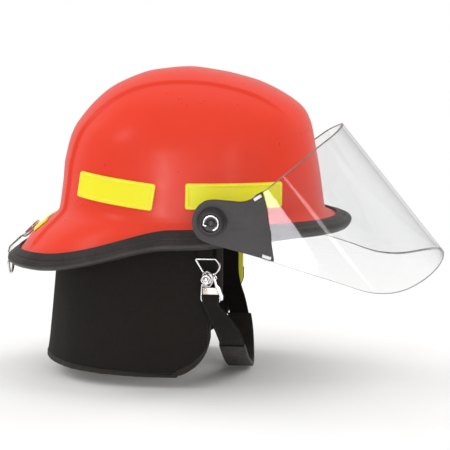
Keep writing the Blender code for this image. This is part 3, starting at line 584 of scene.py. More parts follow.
AXIS = {"x": (np.array((1.0, 0, 0)), np.array((0, 1.0, 0))), "-x": (np.array((-1.0, 0, 0)), np.array((0, 1.0, 0))),
        "y": (np.array((0, 1.0, 0)), np.array((0, 0, 1.0))), "-y": (np.array((0, -1.0, 0)), np.array((0, 0, 1.0))),
        "z": (np.array((0, 0, 1.0)), np.array((1.0, 0, 0)))}


def lathe(name, profile, at, aim, look, steps=72, flutes=None, sharp=35):
    """A closed profile of (radius, height) from the axis round to the axis, turned about aim. flutes = (count, depth, from radius)."""
    d, u = AXIS[aim] if isinstance(aim, str) else aim
    v = np.cross(d, u)
    at = np.asarray(at, float)
    angle = np.linspace(0, 2 * math.pi, steps, endpoint=False)
    points, faces, first = [], [], []
    for r, h in profile:
        first.append(len(points))
        if r < 1e-6:
            points.append(at + d * h)
            continue
        for a in angle:
            k = r
            if flutes and r > flutes[2]:
                k = r - flutes[1] * (0.5 - 0.5 * math.cos(flutes[0] * a)) ** 1.5
            points.append(at + d * h + k * (math.cos(a) * u + math.sin(a) * v))
    for i in range(len(profile) - 1):
        a, b = profile[i][0] < 1e-6, profile[i + 1][0] < 1e-6
        for s in range(steps):
            e = (s + 1) % steps
            if a and b:
                continue
            if a:
                faces.append([first[i], first[i + 1] + s, first[i + 1] + e])
            elif b:
                faces.append([first[i] + s, first[i + 1], first[i] + e])
            else:
                faces.append([first[i] + s, first[i + 1] + s, first[i + 1] + e, first[i] + e])
    return mesh_piece(name, points, faces, [look], sharp=sharp)


def soft_profile(points, radius=0.5, steps=3):
    """A turned profile with rounded corners, its ends kept on the axis."""
    return [tuple(p) for p in rounded_path(np.asarray(points, float), radius, steps, closed=False)]


def plate(name, outline, y_low, y_high, look, holes=(), bevel=0.4, res=2):
    """A flat plate in x, z with rounded edges, from y_low to y_high."""
    curve = bpy.data.curves.new(name, "CURVE")
    curve.dimensions = "2D"
    curve.fill_mode = "BOTH"
    curve.bevel_depth = bevel * MM
    curve.bevel_resolution = res
    curve.extrude = max((y_high - y_low) / 2 - bevel, 0.001) * MM
    curve.offset = -bevel * MM
    for loop in (outline, *holes):
        spline = curve.splines.new("POLY")
        spline.points.add(len(loop) - 1)
        for slot, p in zip(spline.points, loop):
            slot.co = (p[0] * MM, p[1] * MM, 0, 1)
        spline.use_cyclic_u = True
    flat = bpy.data.objects.new(name + "_curve", curve)
    scene.collection.objects.link(flat)
    bpy.context.view_layer.update()
    me = bpy.data.meshes.new_from_object(flat.evaluated_get(bpy.context.evaluated_depsgraph_get()))
    bpy.data.objects.remove(flat)
    bpy.data.curves.remove(curve)
    me.name = name
    bm = bmesh.new()
    bm.from_mesh(me)
    bmesh.ops.remove_doubles(bm, verts=bm.verts, dist=2e-6)
    bmesh.ops.rotate(bm, verts=bm.verts, cent=(0, 0, 0), matrix=Matrix.Rotation(math.pi / 2, 3, "X"))
    bmesh.ops.translate(bm, verts=bm.verts, vec=(0, (y_low + y_high) / 2 * MM, 0))
    bmesh.ops.recalc_face_normals(bm, faces=bm.faces)
    bm.to_mesh(me)
    bm.free()
    me.materials.clear()
    me.materials.append(look.mat)
    me.shade_smooth()
    me.set_sharp_from_angle(angle=math.radians(35))
    obj = bpy.data.objects.new(name, me)
    scene.collection.objects.link(obj)
    return obj


def join(name, objects):
    """One object from several, each keeping its own materials."""
    bm = bmesh.new()
    looks = []
    for o in objects:
        o.data.transform(o.matrix_world)
        table = []
        for m in o.data.materials:
            if m not in looks:
                looks.append(m)
            table.append(looks.index(m))
        index = np.zeros(len(o.data.polygons), np.int32)
        o.data.polygons.foreach_get("material_index", index)
        o.data.polygons.foreach_set("material_index", np.array(table, np.int32)[index])
        bm.from_mesh(o.data)
    me = bpy.data.meshes.new(name)
    bm.to_mesh(me)
    bm.free()
    for m in looks:
        me.materials.append(m)
    for o in objects:
        bpy.data.objects.remove(o)
    obj = bpy.data.objects.new(name, me)
    scene.collection.objects.link(obj)
    return obj


def circle(cx, cz, r, n=48):
    a = np.linspace(0, 2 * math.pi, n, endpoint=False)
    return np.stack([cx + r * np.cos(a), cz + r * np.sin(a)], -1)


def stitches(name, path, normal, look, pitch=3.4, length=2.3, radius=0.32, lift=0.12):
    """Sewing stitches: short domed bars laid along a path, just proud of the cloth."""
    path = np.asarray(path, float)
    normal = np.asarray(normal, float)
    seg = np.linalg.norm(np.diff(path, axis=0), axis=1)
    run = np.concatenate([[0], np.cumsum(seg)])
    points, faces = [], []
    section = np.linspace(0, 2 * math.pi, 6, endpoint=False)
    for c in np.arange(pitch / 2, run[-1] - pitch / 2, pitch):
        ends = [np.array([np.interp(s, run, path[:, k]) for k in range(3)]) for s in (c - length / 2, c + length / 2)]
        up = np.array([np.interp(c, run, normal[:, k]) for k in range(3)])
        up /= np.linalg.norm(up)
        t = ends[1] - ends[0]
        t /= np.linalg.norm(t)
        side = np.cross(t, up)
        base = len(points)
        for f, r, h in ((0, 0.35, -0.35), (0.25, 1, 0.0), (0.75, 1, 0.0), (1, 0.35, -0.35)):
            mid = ends[0] + (ends[1] - ends[0]) * f + up * (lift + h * radius)
            for a in section:
                points.append(mid + radius * r * (math.cos(a) * side + math.sin(a) * up))
        for i in range(3):
            for s in range(6):
                e = (s + 1) % 6
                faces.append([base + i * 6 + s, base + i * 6 + e, base + i * 6 + 6 + e, base + i * 6 + 6 + s])
        faces.append([base + s for s in range(5, -1, -1)])
        faces.append([base + 18 + s for s in range(6)])
    return mesh_piece(name, points, faces, [look], sharp=60)


# ---------------------------------------------------------------- shell surface, as the solid model has it
SHELL_T, GAP, SPINE_RAISE, SPINE_HALF = 3.0, 0.5, 2.5, 50.0
FRONT = np.array([(0, 147), (31, 143), (51.3, 138.4), (72, 132.2), (92.5, 123.8), (105.9, 115.7), (114.1, 107.8), (118.7, 99.3),
                  (121.7, 90.1), (125.7, 68.5), (129.5, 46.4), (133, 21), (134.6, 11.5), (138, 6.8), (146.5, 3.4), (157.8, -1)], float)
REAR = np.array([(0, 147), (25, 145), (45.3, 141), (73, 128.8), (92.2, 113.3), (107.5, 95.2), (113.7, 84.4), (117.1, 74.5),
                 (120, 62.8), (121.7, 54.5), (123.3, 37), (125.9, 18), (127.5, 8), (132, 2), (149, -12), (176, -36.8)], float)
SIDE = np.array([(0, 147), (22, 145), (42, 139), (62, 129), (78, 115.5), (89.5, 100), (95.5, 89), (99.3, 78.5), (101.8, 67.5),
                 (103.7, 57), (106.8, 38), (109.6, 20), (111.3, 11), (113.3, 5.2), (117.8, -0.4), (126.4, -11.2)], float)
STATIONS = 15


def smooth(x):
    x = np.clip(x, 0.0, 1.0)
    return x * x * (3 - 2 * x)


def along(table, t):
    t = np.asarray(t, float)
    i = np.clip(t.astype(int), 0, len(table) - 2)
    f = (t - i)[..., None]
    padded = np.vstack([[(-table[1][0], table[1][1])], table, table[-1:]])
    p0, p1, p2, p3 = padded[i], padded[i + 1], padded[i + 2], padded[i + 3]
    v = 0.5 * (2 * p1 + (p2 - p0) * f + (2 * p0 - 5 * p1 + 4 * p2 - p3) * f ** 2 + (3 * p1 - p0 - 3 * p2 + p3) * f ** 3)
    return v[..., 0], v[..., 1]


def shell_base(theta, t):
    theta, t = np.broadcast_arrays(np.asarray(theta, float), np.asarray(t, float))
    c, s = np.cos(theta), np.sin(theta)
    front = c >= 0
    rf, zf = along(FRONT, t)
    rr, zr = along(REAR, t)
    reach, z_end = np.where(front, rf, rr), np.where(front, zf, zr)
    half, z_side = along(SIDE, t)
    brim = smooth((t - 11) / 3)
    power = np.where(front, 2.12 + 0.1 * brim, 2.15 + 0.65 * brim)
    x = reach * np.sign(c) * np.abs(c) ** (2 / power)
    y = half * np.sign(s) * np.abs(s) ** (2 / power)
    phi = np.where(t > 0, np.degrees(np.arctan2(np.abs(y), np.abs(x))), 0)
    mix = np.cos(np.radians(phi)) ** 2
    w = mix + (smooth((90 - phi) / 55) - mix) * brim
    return np.stack([x, y, z_side + (z_end - z_side) * w], -1)


def spine(p, t):
    half = SPINE_HALF + 31 * smooth((t - 12) / 3.5) * (p[..., 0] < 0)
    edge = 1 - smooth((np.abs(p[..., 1]) - half + 2) / 4)
    return edge * (1 - smooth((p[..., 0] - 62) / 45)) * (1 - smooth((t - 14.2) / 0.35))


def shell_normal(theta, t):
    theta, t = np.broadcast_arrays(np.asarray(theta, float), np.clip(np.asarray(t, float), 0.05, STATIONS - 0.02))
    e = 0.02
    a = shell_base(theta + e, t) - shell_base(theta - e, t)
    b = shell_base(theta, t + e) - shell_base(theta, t - e)
    n = np.cross(b, a)
    n /= np.linalg.norm(n, axis=-1, keepdims=True) + 1e-12
    way = np.stack([np.cos(theta), np.sin(theta), np.full(theta.shape, 0.6)], -1)
    return np.where((n * way).sum(-1, keepdims=True) > 0, n, -n)


def shell_point(theta, t, lift=0.0):
    theta, t = np.broadcast_arrays(np.asarray(theta, float), np.asarray(t, float))
    p = shell_base(theta, t)
    n = np.where((t > 0)[..., None], shell_normal(theta, np.maximum(t, 0.05)), np.array((0, 0, 1.0)))
    lift = np.asarray(lift, float)
    return p + n * (SPINE_RAISE * spine(p, t) + lift)[..., None]


def wall_theta(x, z):
    """Turn and station of the outer surface at given x and z, on the +Y side."""
    x, z = np.broadcast_arrays(np.asarray(x, float), np.asarray(z, float))
    low, high = np.full(x.shape, 0.02), np.full(x.shape, math.pi - 0.02)
    for _ in range(26):
        theta = (low + high) / 2
        a, b = np.full(x.shape, 1.0), np.full(x.shape, 13.5)
        for _ in range(22):
            t = (a + b) / 2
            above = shell_base(theta, t)[..., 2] > z
            a, b = np.where(above, t, a), np.where(above, b, t)
        ahead = shell_base(theta, t)[..., 0] > x
        low, high = np.where(ahead, theta, low), np.where(ahead, high, theta)
    return theta, t


def ring_angles(n):
    """Turns round the shell, evenly spaced."""
    return np.linspace(0, 2 * math.pi, n, endpoint=False)


# ---------------------------------------------------------------- shell
def dome(name, stations, lift_out, lift_in, n, looks, inner_slot=1, extra_out=None, extra_in=None):
    theta = ring_angles(n)
    T, A = np.meshgrid(stations, theta, indexing="ij")
    out_lift = np.full(T.shape, float(lift_out)) + (extra_out(A, T) if extra_out else 0)
    in_lift = np.full(T.shape, float(lift_in)) + (extra_in(A, T) if extra_in else 0)
    outer, inner = shell_point(A, T, out_lift), shell_point(A, T, in_lift)
    rows, base = len(stations), len(stations) * n
    points = np.concatenate([outer.reshape(-1, 3), inner.reshape(-1, 3)])
    crown = shell_point(np.zeros(1), np.zeros(1))[0]
    top, under = len(points), len(points) + 1
    points = np.vstack([points, crown + (0, 0, lift_out), crown + (0, 0, lift_in)])
    faces = [f.tolist() for f in (quads(rows, n, True), quads(rows, n, True, base, True))]
    slots = [0] * len(faces[0]) + [inner_slot] * len(faces[1])
    j = np.arange(n)
    k = (j + 1) % n
    i = rows - 1
    rim_faces = np.stack([i * n + j, base + i * n + j, base + i * n + k, i * n + k], -1).tolist()
    caps = [[top, a, b] for a, b in zip(j, k)]
    caps_in = [[under, base + b, base + a] for a, b in zip(j, k)]
    faces = faces[0] + faces[1] + rim_faces + caps + caps_in
    slots += [0] * (len(rim_faces) + n) + [inner_slot] * n
    return mesh_piece(name, points, faces, looks, slots, 30)


SHELL_ROWS = np.concatenate([np.linspace(0.3, 10.5, 210), np.linspace(10.56, 14.15, 80), np.linspace(14.19, 14.6, 12), [14.7, 14.82, 14.94, 15.0]])
shell = dome("shell_skin", SHELL_ROWS, 0, -SHELL_T, 432, [red, red_inside])
put(shell, "outer_shell")


def liner_in(A, T):
    groove = np.maximum(0, 1 - np.abs(((np.degrees(A) + 22.5) % 45) - 22.5) / 3.2)
    return 2.2 * groove * smooth((T - 3) / 1.5) * (1 - smooth((T - 10) / 1.0)) * 0 + 2.6 * groove * smooth((T - 4) / 1.5)


liner = dome("liner_foam", np.linspace(1.0, 11, 56), -SHELL_T - 2.4, -SHELL_T - 2.4 - 13, 288, [foam, foam], 1, None, liner_in)
put(liner, "impact_liner")

# ---------------------------------------------------------------- edge trim
TRIM_LEG, TRIM_LEG_MORE, TRIM_T = 13.0, 3.0, 2.2


def edge_frame(theta):
    edge = shell_base(theta, STATIONS)
    n = shell_normal(theta, STATIONS)
    out = edge - shell_base(theta, STATIONS - 0.25)
    out /= np.linalg.norm(out, axis=-1, keepdims=True)
    n = n - out * (n * out).sum(-1, keepdims=True)
    n /= np.linalg.norm(n, axis=-1, keepdims=True)
    return edge, out, n


def trim_mesh():
    g, t = GAP, TRIM_T
    top, low = g, -SHELL_T - g
    corners = [(-TRIM_LEG, top + 0.3), (-TRIM_LEG, top + t), (-6.2, top + t), (-5.6, top + t - 0.5), (-4.9, top + t - 0.35), (-4.0, top + t + 0.75), (1.3, top + t + 0.7),
               (3.5, 1.6), (3.6, low + 1.6), (2.0, low - t - 0.55), (-1.2, low - t - 0.8), (-2.2, low - t - 0.25), (-9.5, low - t - 0.4), (-9.5, low - 0.4), (g, low), (g, top + 0.3)]
    radius = [0.2, 0.9, 0.4, 0.3, 0.4, 0.9, 1.4, 1.6, 1.3, 1.3, 0.8, 0.6, 0.8, 0.2, 0.3, 0.3]
    section = rounded_path(np.array(corners, float), radius, 4)
    theta = ring_angles(432)
    edge, out, normal = edge_frame(theta)
    raised = SPINE_RAISE * spine(edge, np.full(theta.shape, float(STATIONS)))
    a = section[:, 0][None] - TRIM_LEG_MORE * (np.sin(theta) ** 2)[:, None] * np.clip((-section[:, 0] - 6.5) / 6.5, 0, 1)[None]
    b = section[:, 1][None] + raised[:, None] * (section[:, 1] > -1)[None]
    points = (edge[:, None] + out[:, None] * a[..., None] + normal[:, None] * b[..., None])
    n, m = points.shape[:2]
    i, j = np.meshgrid(np.arange(n), np.arange(m), indexing="ij")
    faces = np.stack([i * m + j, i * m + (j + 1) % m, ((i + 1) % n) * m + (j + 1) % m, ((i + 1) % n) * m + j], -1).reshape(-1, 4)
    return mesh_piece("edge_trim_skin", points.reshape(-1, 3), faces, [rubber], sharp=55)


put(trim_mesh(), "edge_trim")


# ---------------------------------------------------------------- reflectors
def rounded_square(n, m, length, height, radius):
    """A grid over a rectangle whose outer ring follows rounded corners: x 0..length, v -height/2..height/2."""
    u = np.linspace(-1, 1, n)
    w = np.linspace(-1, 1, m)
    U, W = np.meshgrid(u, w)
    x, v = U * length / 2, W * height / 2
    hx, hv = length / 2 - radius, height / 2 - radius
    cx, cv = np.clip(x, -hx, hx), np.clip(v, -hv, hv)
    dx, dv = x - cx, v - cv
    corner = (np.abs(dx) > 1e-9) & (np.abs(dv) > 1e-9)
    far = np.maximum(np.abs(dx), np.abs(dv))
    norm = np.hypot(dx, dv) + 1e-12
    x = np.where(corner, cx + dx / norm * far, x)
    v = np.where(corner, cv + dv / norm * far, v)
    # how far from the outline, for the bevel and the border
    inside = np.where(corner, radius - far, np.minimum(length / 2 - np.abs(U * length / 2), height / 2 - np.abs(W * height / 2)))
    return x + length / 2, v, np.maximum(inside, 0)


def nonuniform(length, n, edge=4.5, dense=9):
    """Unit grid lines from -1 to 1, denser near both ends."""
    e = np.linspace(0, edge, dense)
    m = np.linspace(edge, length - edge, n)[1:-1]
    return np.concatenate([e, m, length - e[::-1]]) * 2 / length - 1


def patch(name, at, length, height, replaced, lift_low=0.9, lift_high=2.2, radius=2.6):
    u, w = nonuniform(length, 46), nonuniform(height, 18)
    U, W = np.meshgrid(u, w)
    x, v = U * length / 2, W * height / 2
    hx, hv = length / 2 - radius, height / 2 - radius
    cx, cv = np.clip(x, -hx, hx), np.clip(v, -hv, hv)
    dx, dv = x - cx, v - cv
    corner = (np.abs(dx) > 1e-9) & (np.abs(dv) > 1e-9)
    far = np.maximum(np.abs(dx), np.abs(dv))
    norm = np.hypot(dx, dv) + 1e-12
    x = np.where(corner, cx + dx / norm * far, x)
    v = np.where(corner, cv + dv / norm * far, v)
    inside = np.maximum(np.where(corner, radius - far, np.minimum(length / 2 - np.abs(U) * length / 2, height / 2 - np.abs(W) * height / 2)), 0)
    thick = lift_high - lift_low
    edge_round = thick * np.sqrt(np.clip(1 - (1 - np.clip(inside / 0.7, 0, 1)) ** 2, 0, 1))
    bead = 0.42 * np.exp(-((inside - 2.6) / 0.55) ** 2) * (inside > 0.8) - 0.16 * smooth((inside - 3.0) / 0.8)
    high = lift_low + 0.12 + (edge_round * 0.86 + bead)
    outer = at(x + length / 2, v, high)
    inner = at(x + length / 2, v, np.full(x.shape, lift_low))
    obj = two_sided(name, outer, inner, [lime, lime_rim], rim_slot=1, sharp=50)
    me = obj.data
    border = (inside < 3.1).ravel()
    cells_in = (len(w) - 1) * (len(u) - 1)
    index = np.zeros(len(me.polygons), np.int32)
    me.polygons.foreach_get("material_index", index)
    r, c = np.meshgrid(np.arange(len(w) - 1), np.arange(len(u) - 1), indexing="ij")
    rim_cells = (inside[r, c] + inside[r + 1, c + 1] < 6.0).ravel()
    index[:cells_in] = np.where(rim_cells, 1, index[:cells_in])
    me.polygons.foreach_set("material_index", index)
    put(obj, replaced)
    return obj


def on_wall(x0, x1, z0, z1, slant, side):
    def at(s, v, lift):
        f = s / abs(x1 - x0)
        x, z = x0 + (x1 - x0) * f + v * slant, z0 + (z1 - z0) * f + v
        theta, t = wall_theta(x, z)
        return shell_point(side * theta, t, lift)
    return at


for side, word in ((-1, "right"), (1, "left")):
    patch("tape_front_" + word, on_wall(9, 97, 32.8, 32.2, 0.0, side), 88, 24.5, "reflector_front_" + word)
    patch("tape_rear_" + word, on_wall(-98, -20.5, 39.6, 31.2, 0.15, side), 77.5, 25, "reflector_rear_" + word)


def rear_brim_at(s, v, lift):
    theta = math.pi + (s / 62.0 - 0.5) * 0.52
    t = 13.4 + 0.68 * (0.5 - v / 17.0)
    return shell_point(theta, t, lift)


patch("tape_rear_brim", rear_brim_at, 62.0, 17.0, "reflector_rear_brim", 0.6, 1.9)

# ---------------------------------------------------------------- face shield
SHIELD_T, SHIELD_HALF, SHIELD_TILT = 2.5, 129.1, math.radians(51.2)
PIVOT = (37.0, 13.0)
CH, SH = math.cos(SHIELD_TILT), math.sin(SHIELD_TILT)
SHIELD_FLAT, SHIELD_DEPTH, SHIELD_POWER = 92.0, 84.5, 2.15
LOWER_EDGE = np.array([(48.6, 66.9), (57.9, 78.6), (76.5, 106), (95, 133), (105, 148.5), (114, 159.5), (126, 169.5), (138, 176),
                       (150, 180), (160, 182.5), (170, 184), (176.5, 184.5)], float)
EDGE_LINE = catmull(LOWER_EDGE, 8)


def from_tilted(h, g, y):
    return np.stack([h * SH + g * CH, y + 0 * h, h * CH - g * SH], -1)


def shield_rows(inset, ws):
    depth, half = SHIELD_DEPTH - inset, SHIELD_HALF - inset
    top_rear, low_rear = np.array((81.5, 18.1)), np.array((48.6, 66.9))
    low_flat = np.interp(SHIELD_FLAT, EDGE_LINE[:, 0], EDGE_LINE[:, 1])
    cols = []
    for f in np.linspace(1, 0, 12)[:-1]:
        top = np.array((SHIELD_FLAT, 20.6)) + (top_rear - (SHIELD_FLAT, 20.6)) * f
        h_low = SHIELD_FLAT + (low_rear[0] - SHIELD_FLAT) * f
        low = np.array((h_low, np.interp(h_low, EDGE_LINE[:, 0], EDGE_LINE[:, 1])))
        if f > 0.9:
            ends = 1 - np.sqrt(max(1 - ((f - 0.9) / 0.1) ** 2, 0))
            top = top + (low - top) * 0.035 * ends
            low = low + (top - low) * 0.06 * ends
        line = top[None] + (low - top)[None] * ws[:, None]
        cols.append(from_tilted(line[:, 0], line[:, 1], np.full(len(ws), -half)))
    for a in np.linspace(math.pi / 2, 0, 92):
        c, s = max(math.cos(a), 0.0), math.sin(a)
        h = SHIELD_FLAT + depth * c ** (2 / SHIELD_POWER)
        y = -half * s ** (2 / SHIELD_POWER)
        outer_h = SHIELD_FLAT + SHIELD_DEPTH * c ** (2 / SHIELD_POWER)
        top = 20.6 + 1.8 * smooth((outer_h - 150) / 26)
        low = np.interp(outer_h, EDGE_LINE[:, 0], EDGE_LINE[:, 1])
        g = top + (low - top) * ws
        cols.append(from_tilted(np.full(len(ws), h), g, np.full(len(ws), y)))
    cols = np.array(cols)
    mirror = cols[-2::-1] * (1, -1, 1)
    return np.concatenate([cols, mirror]).transpose(1, 0, 2)


WS = np.concatenate([[0, 0.003, 0.008], np.linspace(0.02, 0.98, 44), [0.992, 0.997, 1]])
shield = two_sided("shield_pane", shield_rows(0, WS), shield_rows(SHIELD_T, WS), [clear, rim, rim_low], rim_slot=1, sharp=45)
top_line = np.array([p.center[:] for p in shield.data.polygons]) / MM
along_g = top_line[:, 0] * CH - top_line[:, 2] * SH
edge_ids = np.zeros(len(shield.data.polygons), np.int32)
shield.data.polygons.foreach_get("material_index", edge_ids)
edge_ids[(edge_ids == 1) & (along_g > 45)] = 2
shield_cols = len(shield.data.vertices) // (2 * len(WS)) - 1
# The two outermost rows along the top take the brown edge colour and the two along the lower edge take the grey one: a
# painted shade band and a painted highlight band on the clear face.
on_outside = edge_ids[: (len(WS) - 1) * shield_cols].reshape(len(WS) - 1, shield_cols)
on_outside[:2] = 1
on_outside[-2:] = 2
shield.data.polygons.foreach_set("material_index", edge_ids)
put(shield, "face_shield")

# ---------------------------------------------------------------- brackets, knobs
BRACKET = [(18.4, 14.2), (20.2, 22.0), (24.8, 28.6), (31.0, 32.6), (37.5, 33.6), (50, 32.8), (64.4, 31.6), (72, 33.5), (83.2, 41.6), (84.4, 38.6), (87.4, 27.6),
           (91.3, -2.6), (94.6, -23.6), (64.5, -15.5), (50, -11.8), (36.1, -8.2), (25.8, -4.4), (20.4, 2.2), (18.4, 8.2)]
BRACKET_R = [6, 5, 5, 5, 5, 8, 10, 12, 0.8, 3, 8, 8, 1.2, 10, 12, 10, 6, 6, 6]
SLOTS = (((79.2, 35.7), (0.85, 0.53), 8.4, 3.2), ((87.6, -19.4), (0.96, -0.28), 8.6, 3.4))


def slot_shape(centre, direction, length, width, radius=0.7):
    d = np.array(direction, float)
    d *= length / 2 / np.linalg.norm(d)
    n = np.array((-d[1], d[0]))
    n *= width / 2 / np.linalg.norm(n)
    c = np.array(centre, float)
    return rounded_path(np.array([c + d + n, c - d + n, c - d - n, c + d - n]), radius, 4)


for side, word in ((-1, "right"), (1, "left")):
    def span(a, b, side=side):
        return (a, b) if side > 0 else (-b, -a)

    aim = "y" if side > 0 else "-y"
    b = 133.2
    at = (PIVOT[0], 0, PIVOT[1])
    blade = plate("bracket_blade_" + word, rounded_path(np.array(BRACKET, float), BRACKET_R, 6), *span(129.4, 132.9), bracket,
                  [circle(*PIVOT, 4.0, 40), *[slot_shape(*s) for s in SLOTS]], 0.55, 3)
    put(blade, "visor_bracket_" + word)
    for (c, d, length, width), where in zip(SLOTS, ("upper", "lower")):
        clip = plate(f"clip_{where}_{word}", slot_shape(c, d, 7.9, 2.8, 0.5), *span(129.5, 133.3), frosted, (), 0.25, 2)
        put(clip, f"shield_clip_{where}_{word}")
    knob = lathe("knob_" + word, soft_profile([(0, b + 9), (2.2, b + 9), (3.2, b + 8.6), (3.5, b + 7.6), (8.1, b + 7.6), (8.3, b + 9.4), (9.2, b + 9.9), (10.4, b + 9.6), (11.6, b + 8.4),
                                               (12.3, b + 3.2), (13.9, b + 2.6), (14.0, b + 0.2), (13.6, b), (4.0, b), (4.0, b + 6.4), (0, b + 6.4)], 0.35, 3),
                 at, aim, knob_black, 96, (32, 0.22, 11.0))
    bar_y = (b + 8.8, b + 9.35) if side > 0 else (-(b + 9.35), -(b + 8.8))
    bar = plate("knob_bar_" + word, slot_shape(PIVOT, (0.25, 1), 4.6, 1.5, 0.6), *bar_y, steel_dark, (), 0.15, 1)
    knob = join("knob_turned_" + word, [knob, bar])
    put(knob, "tension_knob_" + word)
    angles = np.radians(np.linspace(-72, 196, 60))
    arc = np.stack([PIVOT[0] + 6.75 * np.cos(angles), np.full(60, side * (b + 9.15)), PIVOT[1] + 6.75 * np.sin(angles)], -1)
    tail_a = np.radians(196 + np.linspace(4, 14, 4))
    tail = np.stack([PIVOT[0] + (6.75 - np.linspace(0.6, 2.0, 4)) * np.cos(tail_a), np.full(4, side * (b + 9.15)), PIVOT[1] + (6.75 - np.linspace(0.6, 2.0, 4)) * np.sin(tail_a)], -1)
    insert = tube("insert_" + word, np.vstack([arc, tail]), 1.35, steel, False, 14, 0.62, (math.cos(-1.2566), 0, math.sin(-1.2566)))
    put(insert, "knob_insert_" + word)
    stud = lathe("stud_" + word, soft_profile([(0, 139.1), (1.0, 139.1), (1.2, 138.5), (3.0, 138.9), (3.6, 138.2), (3.6, 127.9), (0, 127.9)], 0.2, 2), at, aim, steel, 48)
    put(stud, "pivot_stud_" + word)
    block = lathe("block_" + word, soft_profile([(0, 127.6), (6, 127.6), (6, 113.6), (0, 113.6)], 0.5, 3), at, aim, black_plastic, 64)
    put(block, "pivot_block_" + word)

# ---------------------------------------------------------------- ear and neck curtain
LAP_T = 2.5
LAP_PROFILE = np.array([(-2, 122, 100), (-20, 127, 100.5), (-45, 133, 101), (-90, 137.5, 101.5), (-120, 140.5, 102), (-142, 143.5, 102.5)], float)
LAP_POWER, LAP_FRONT, LAP_DROP = 2.5, 43.0, 140.0


def lap_reach(z):
    z = np.asarray(z, float)
    k = LAP_PROFILE[::-1]
    return np.interp(z, k[:, 0], k[:, 1]), np.interp(z, k[:, 0], k[:, 2])


def lap_front(z):
    return LAP_FRONT - 11 * smooth((-50 - z) / 43)


def lap_front_left(z):
    """The left front edge hangs a little further forward."""
    return LAP_FRONT + 1.2 - 12.2 * smooth((-76 - z) / 30)


def lap_bottom(x):
    f = np.clip((np.asarray(x, float) + 12) / 44.5, 0, 1)
    return -142 + 47 * (1 - np.sqrt(np.clip(1 - f * f, 0, 1)))


def lap_point(U, V, inset):
    U, V = np.broadcast_arrays(np.asarray(U, float), np.asarray(V, float))
    inset = np.asarray(inset, float)
    side = np.where(U < 0, -1.0, 1.0)
    f = np.abs(U)
    part = 0.72
    t = np.clip(f / part, 0, 1) * math.pi / 2
    z1 = -2 - (LAP_DROP - 4 * np.cos(t) ** 2) * V
    a, b = lap_reach(z1)
    p1 = np.stack([-(a - inset) * np.clip(np.cos(t), 0, 1) ** (2 / LAP_POWER), side * (b - inset) * np.sin(t) ** (2 / LAP_POWER), z1], -1)
    k = np.clip((f - part) / (1 - part), 0, 1)
    x = k * LAP_FRONT
    for _ in range(6):
        z2 = -2 + (lap_bottom(x) + 2) * V
        x = k * np.where(U < 0, lap_front(z2), lap_front_left(z2))
    z2 = -2 + (lap_bottom(x) + 2) * V
    b = lap_reach(z2)[1]
    p2 = np.stack([x, side * (b - inset), z2], -1)
    return np.where((f <= part)[..., None], p1, p2)


def folds(U, V):
    """How the cloth stands in and out as it hangs, in mm: slack waves that grow to the lower edge."""
    w = V ** 1.4
    wave = 0.9 * np.sin(9.5 * U + 0.4) + 0.6 * np.sin(21 * U + 1.9 + 1.2 * V) + 0.35 * np.sin(43 * U + 4.4 * V)
    pucker = 0.16 * np.sin(150 * U + 2.0 * np.sin(9 * U)) * np.exp(-((1 - V) / 0.055) ** 2)
    return w * wave * 0.55 + pucker


def cloth_uv(grid):
    """Flat lay of a hung sheet: distance along each row and down each column."""
    return grid_uv(grid)


def lap_sheet(name, us, vs, low, high, look, replaced, edge=1.0):
    U, V = np.meshgrid(us, vs)
    sway = folds(U, V)
    # a rounded edge: the faces draw together at the border
    border = np.minimum.reduce([(U - us[0]) * 150, (us[-1] - U) * 150, (V - vs[0]) * 140, (vs[-1] - V) * 140])
    t = (high - low) / 2
    mid = (high + low) / 2
    half = t * np.sqrt(np.clip(1 - (1 - np.clip(border / (edge * t), 0, 1)) ** 2, 0.06, 1))
    outer = lap_point(U, V, mid - half - sway)
    inner = lap_point(U, V, mid + half - sway)
    obj = two_sided(name, outer, inner, [look], sharp=0)
    put(obj, replaced)
    middle = lap_point(U, V, mid - sway)
    along_rows = np.linalg.norm(np.diff(middle, axis=1), axis=2).sum(1)
    down_cols = np.linalg.norm(np.diff(middle, axis=0), axis=2).sum(0)
    width, length = float(along_rows.max()), float(down_cols.max())
    print(f"{name}: flat {width:.0f} x {length:.0f} mm")
    return obj, (width * MM, length * MM)


LAP_U = np.concatenate([[-1, -0.998, -0.995, -0.99], np.linspace(-0.985, 0.985, 300), [0.99, 0.995, 0.998, 1]])
LAP_V = np.concatenate([[0, 0.006, 0.015], np.linspace(0.03, 0.97, 96), [0.985, 0.994, 1]])
lap, lap_flat = lap_sheet("curtain_outer", LAP_U, LAP_V, 0, LAP_T, cloth, "ear_lap")
inner_lap, inner_flat = lap_sheet("curtain_lining", np.where(LAP_U < 0, LAP_U * 0.985, LAP_U), 0.02 + LAP_V * 0.955, LAP_T + 0.4, LAP_T + 1.6, lining, "ear_lap_lining")
inner_lap.data.materials.append(cloth.mat)
middle = np.array([p.center[:] for p in inner_lap.data.polygons])
lower = ((middle[:, 2] < -0.060) & (middle[:, 1] < 0)) | (middle[:, 2] < -0.084) | (middle[:, 0] < 0.0)
inner_lap.data.polygons.foreach_set("material_index", lower.astype(np.int32))

# binding tape round the curtain's edge, folded over it, with its stitch line
def lap_edge(inset_u, inset_v, n=420):
    """A line near the curtain's border, from the top of the right front edge, along the hem, to the left."""
    u0 = 1 - inset_u
    v0 = 1 - inset_v
    U = np.concatenate([np.full(90, -u0), np.linspace(-u0, u0, n), np.full(40, u0)])
    V = np.concatenate([np.linspace(0.10, v0, 90), np.full(n, v0), np.linspace(v0, 0.70, 40)])
    return U, V


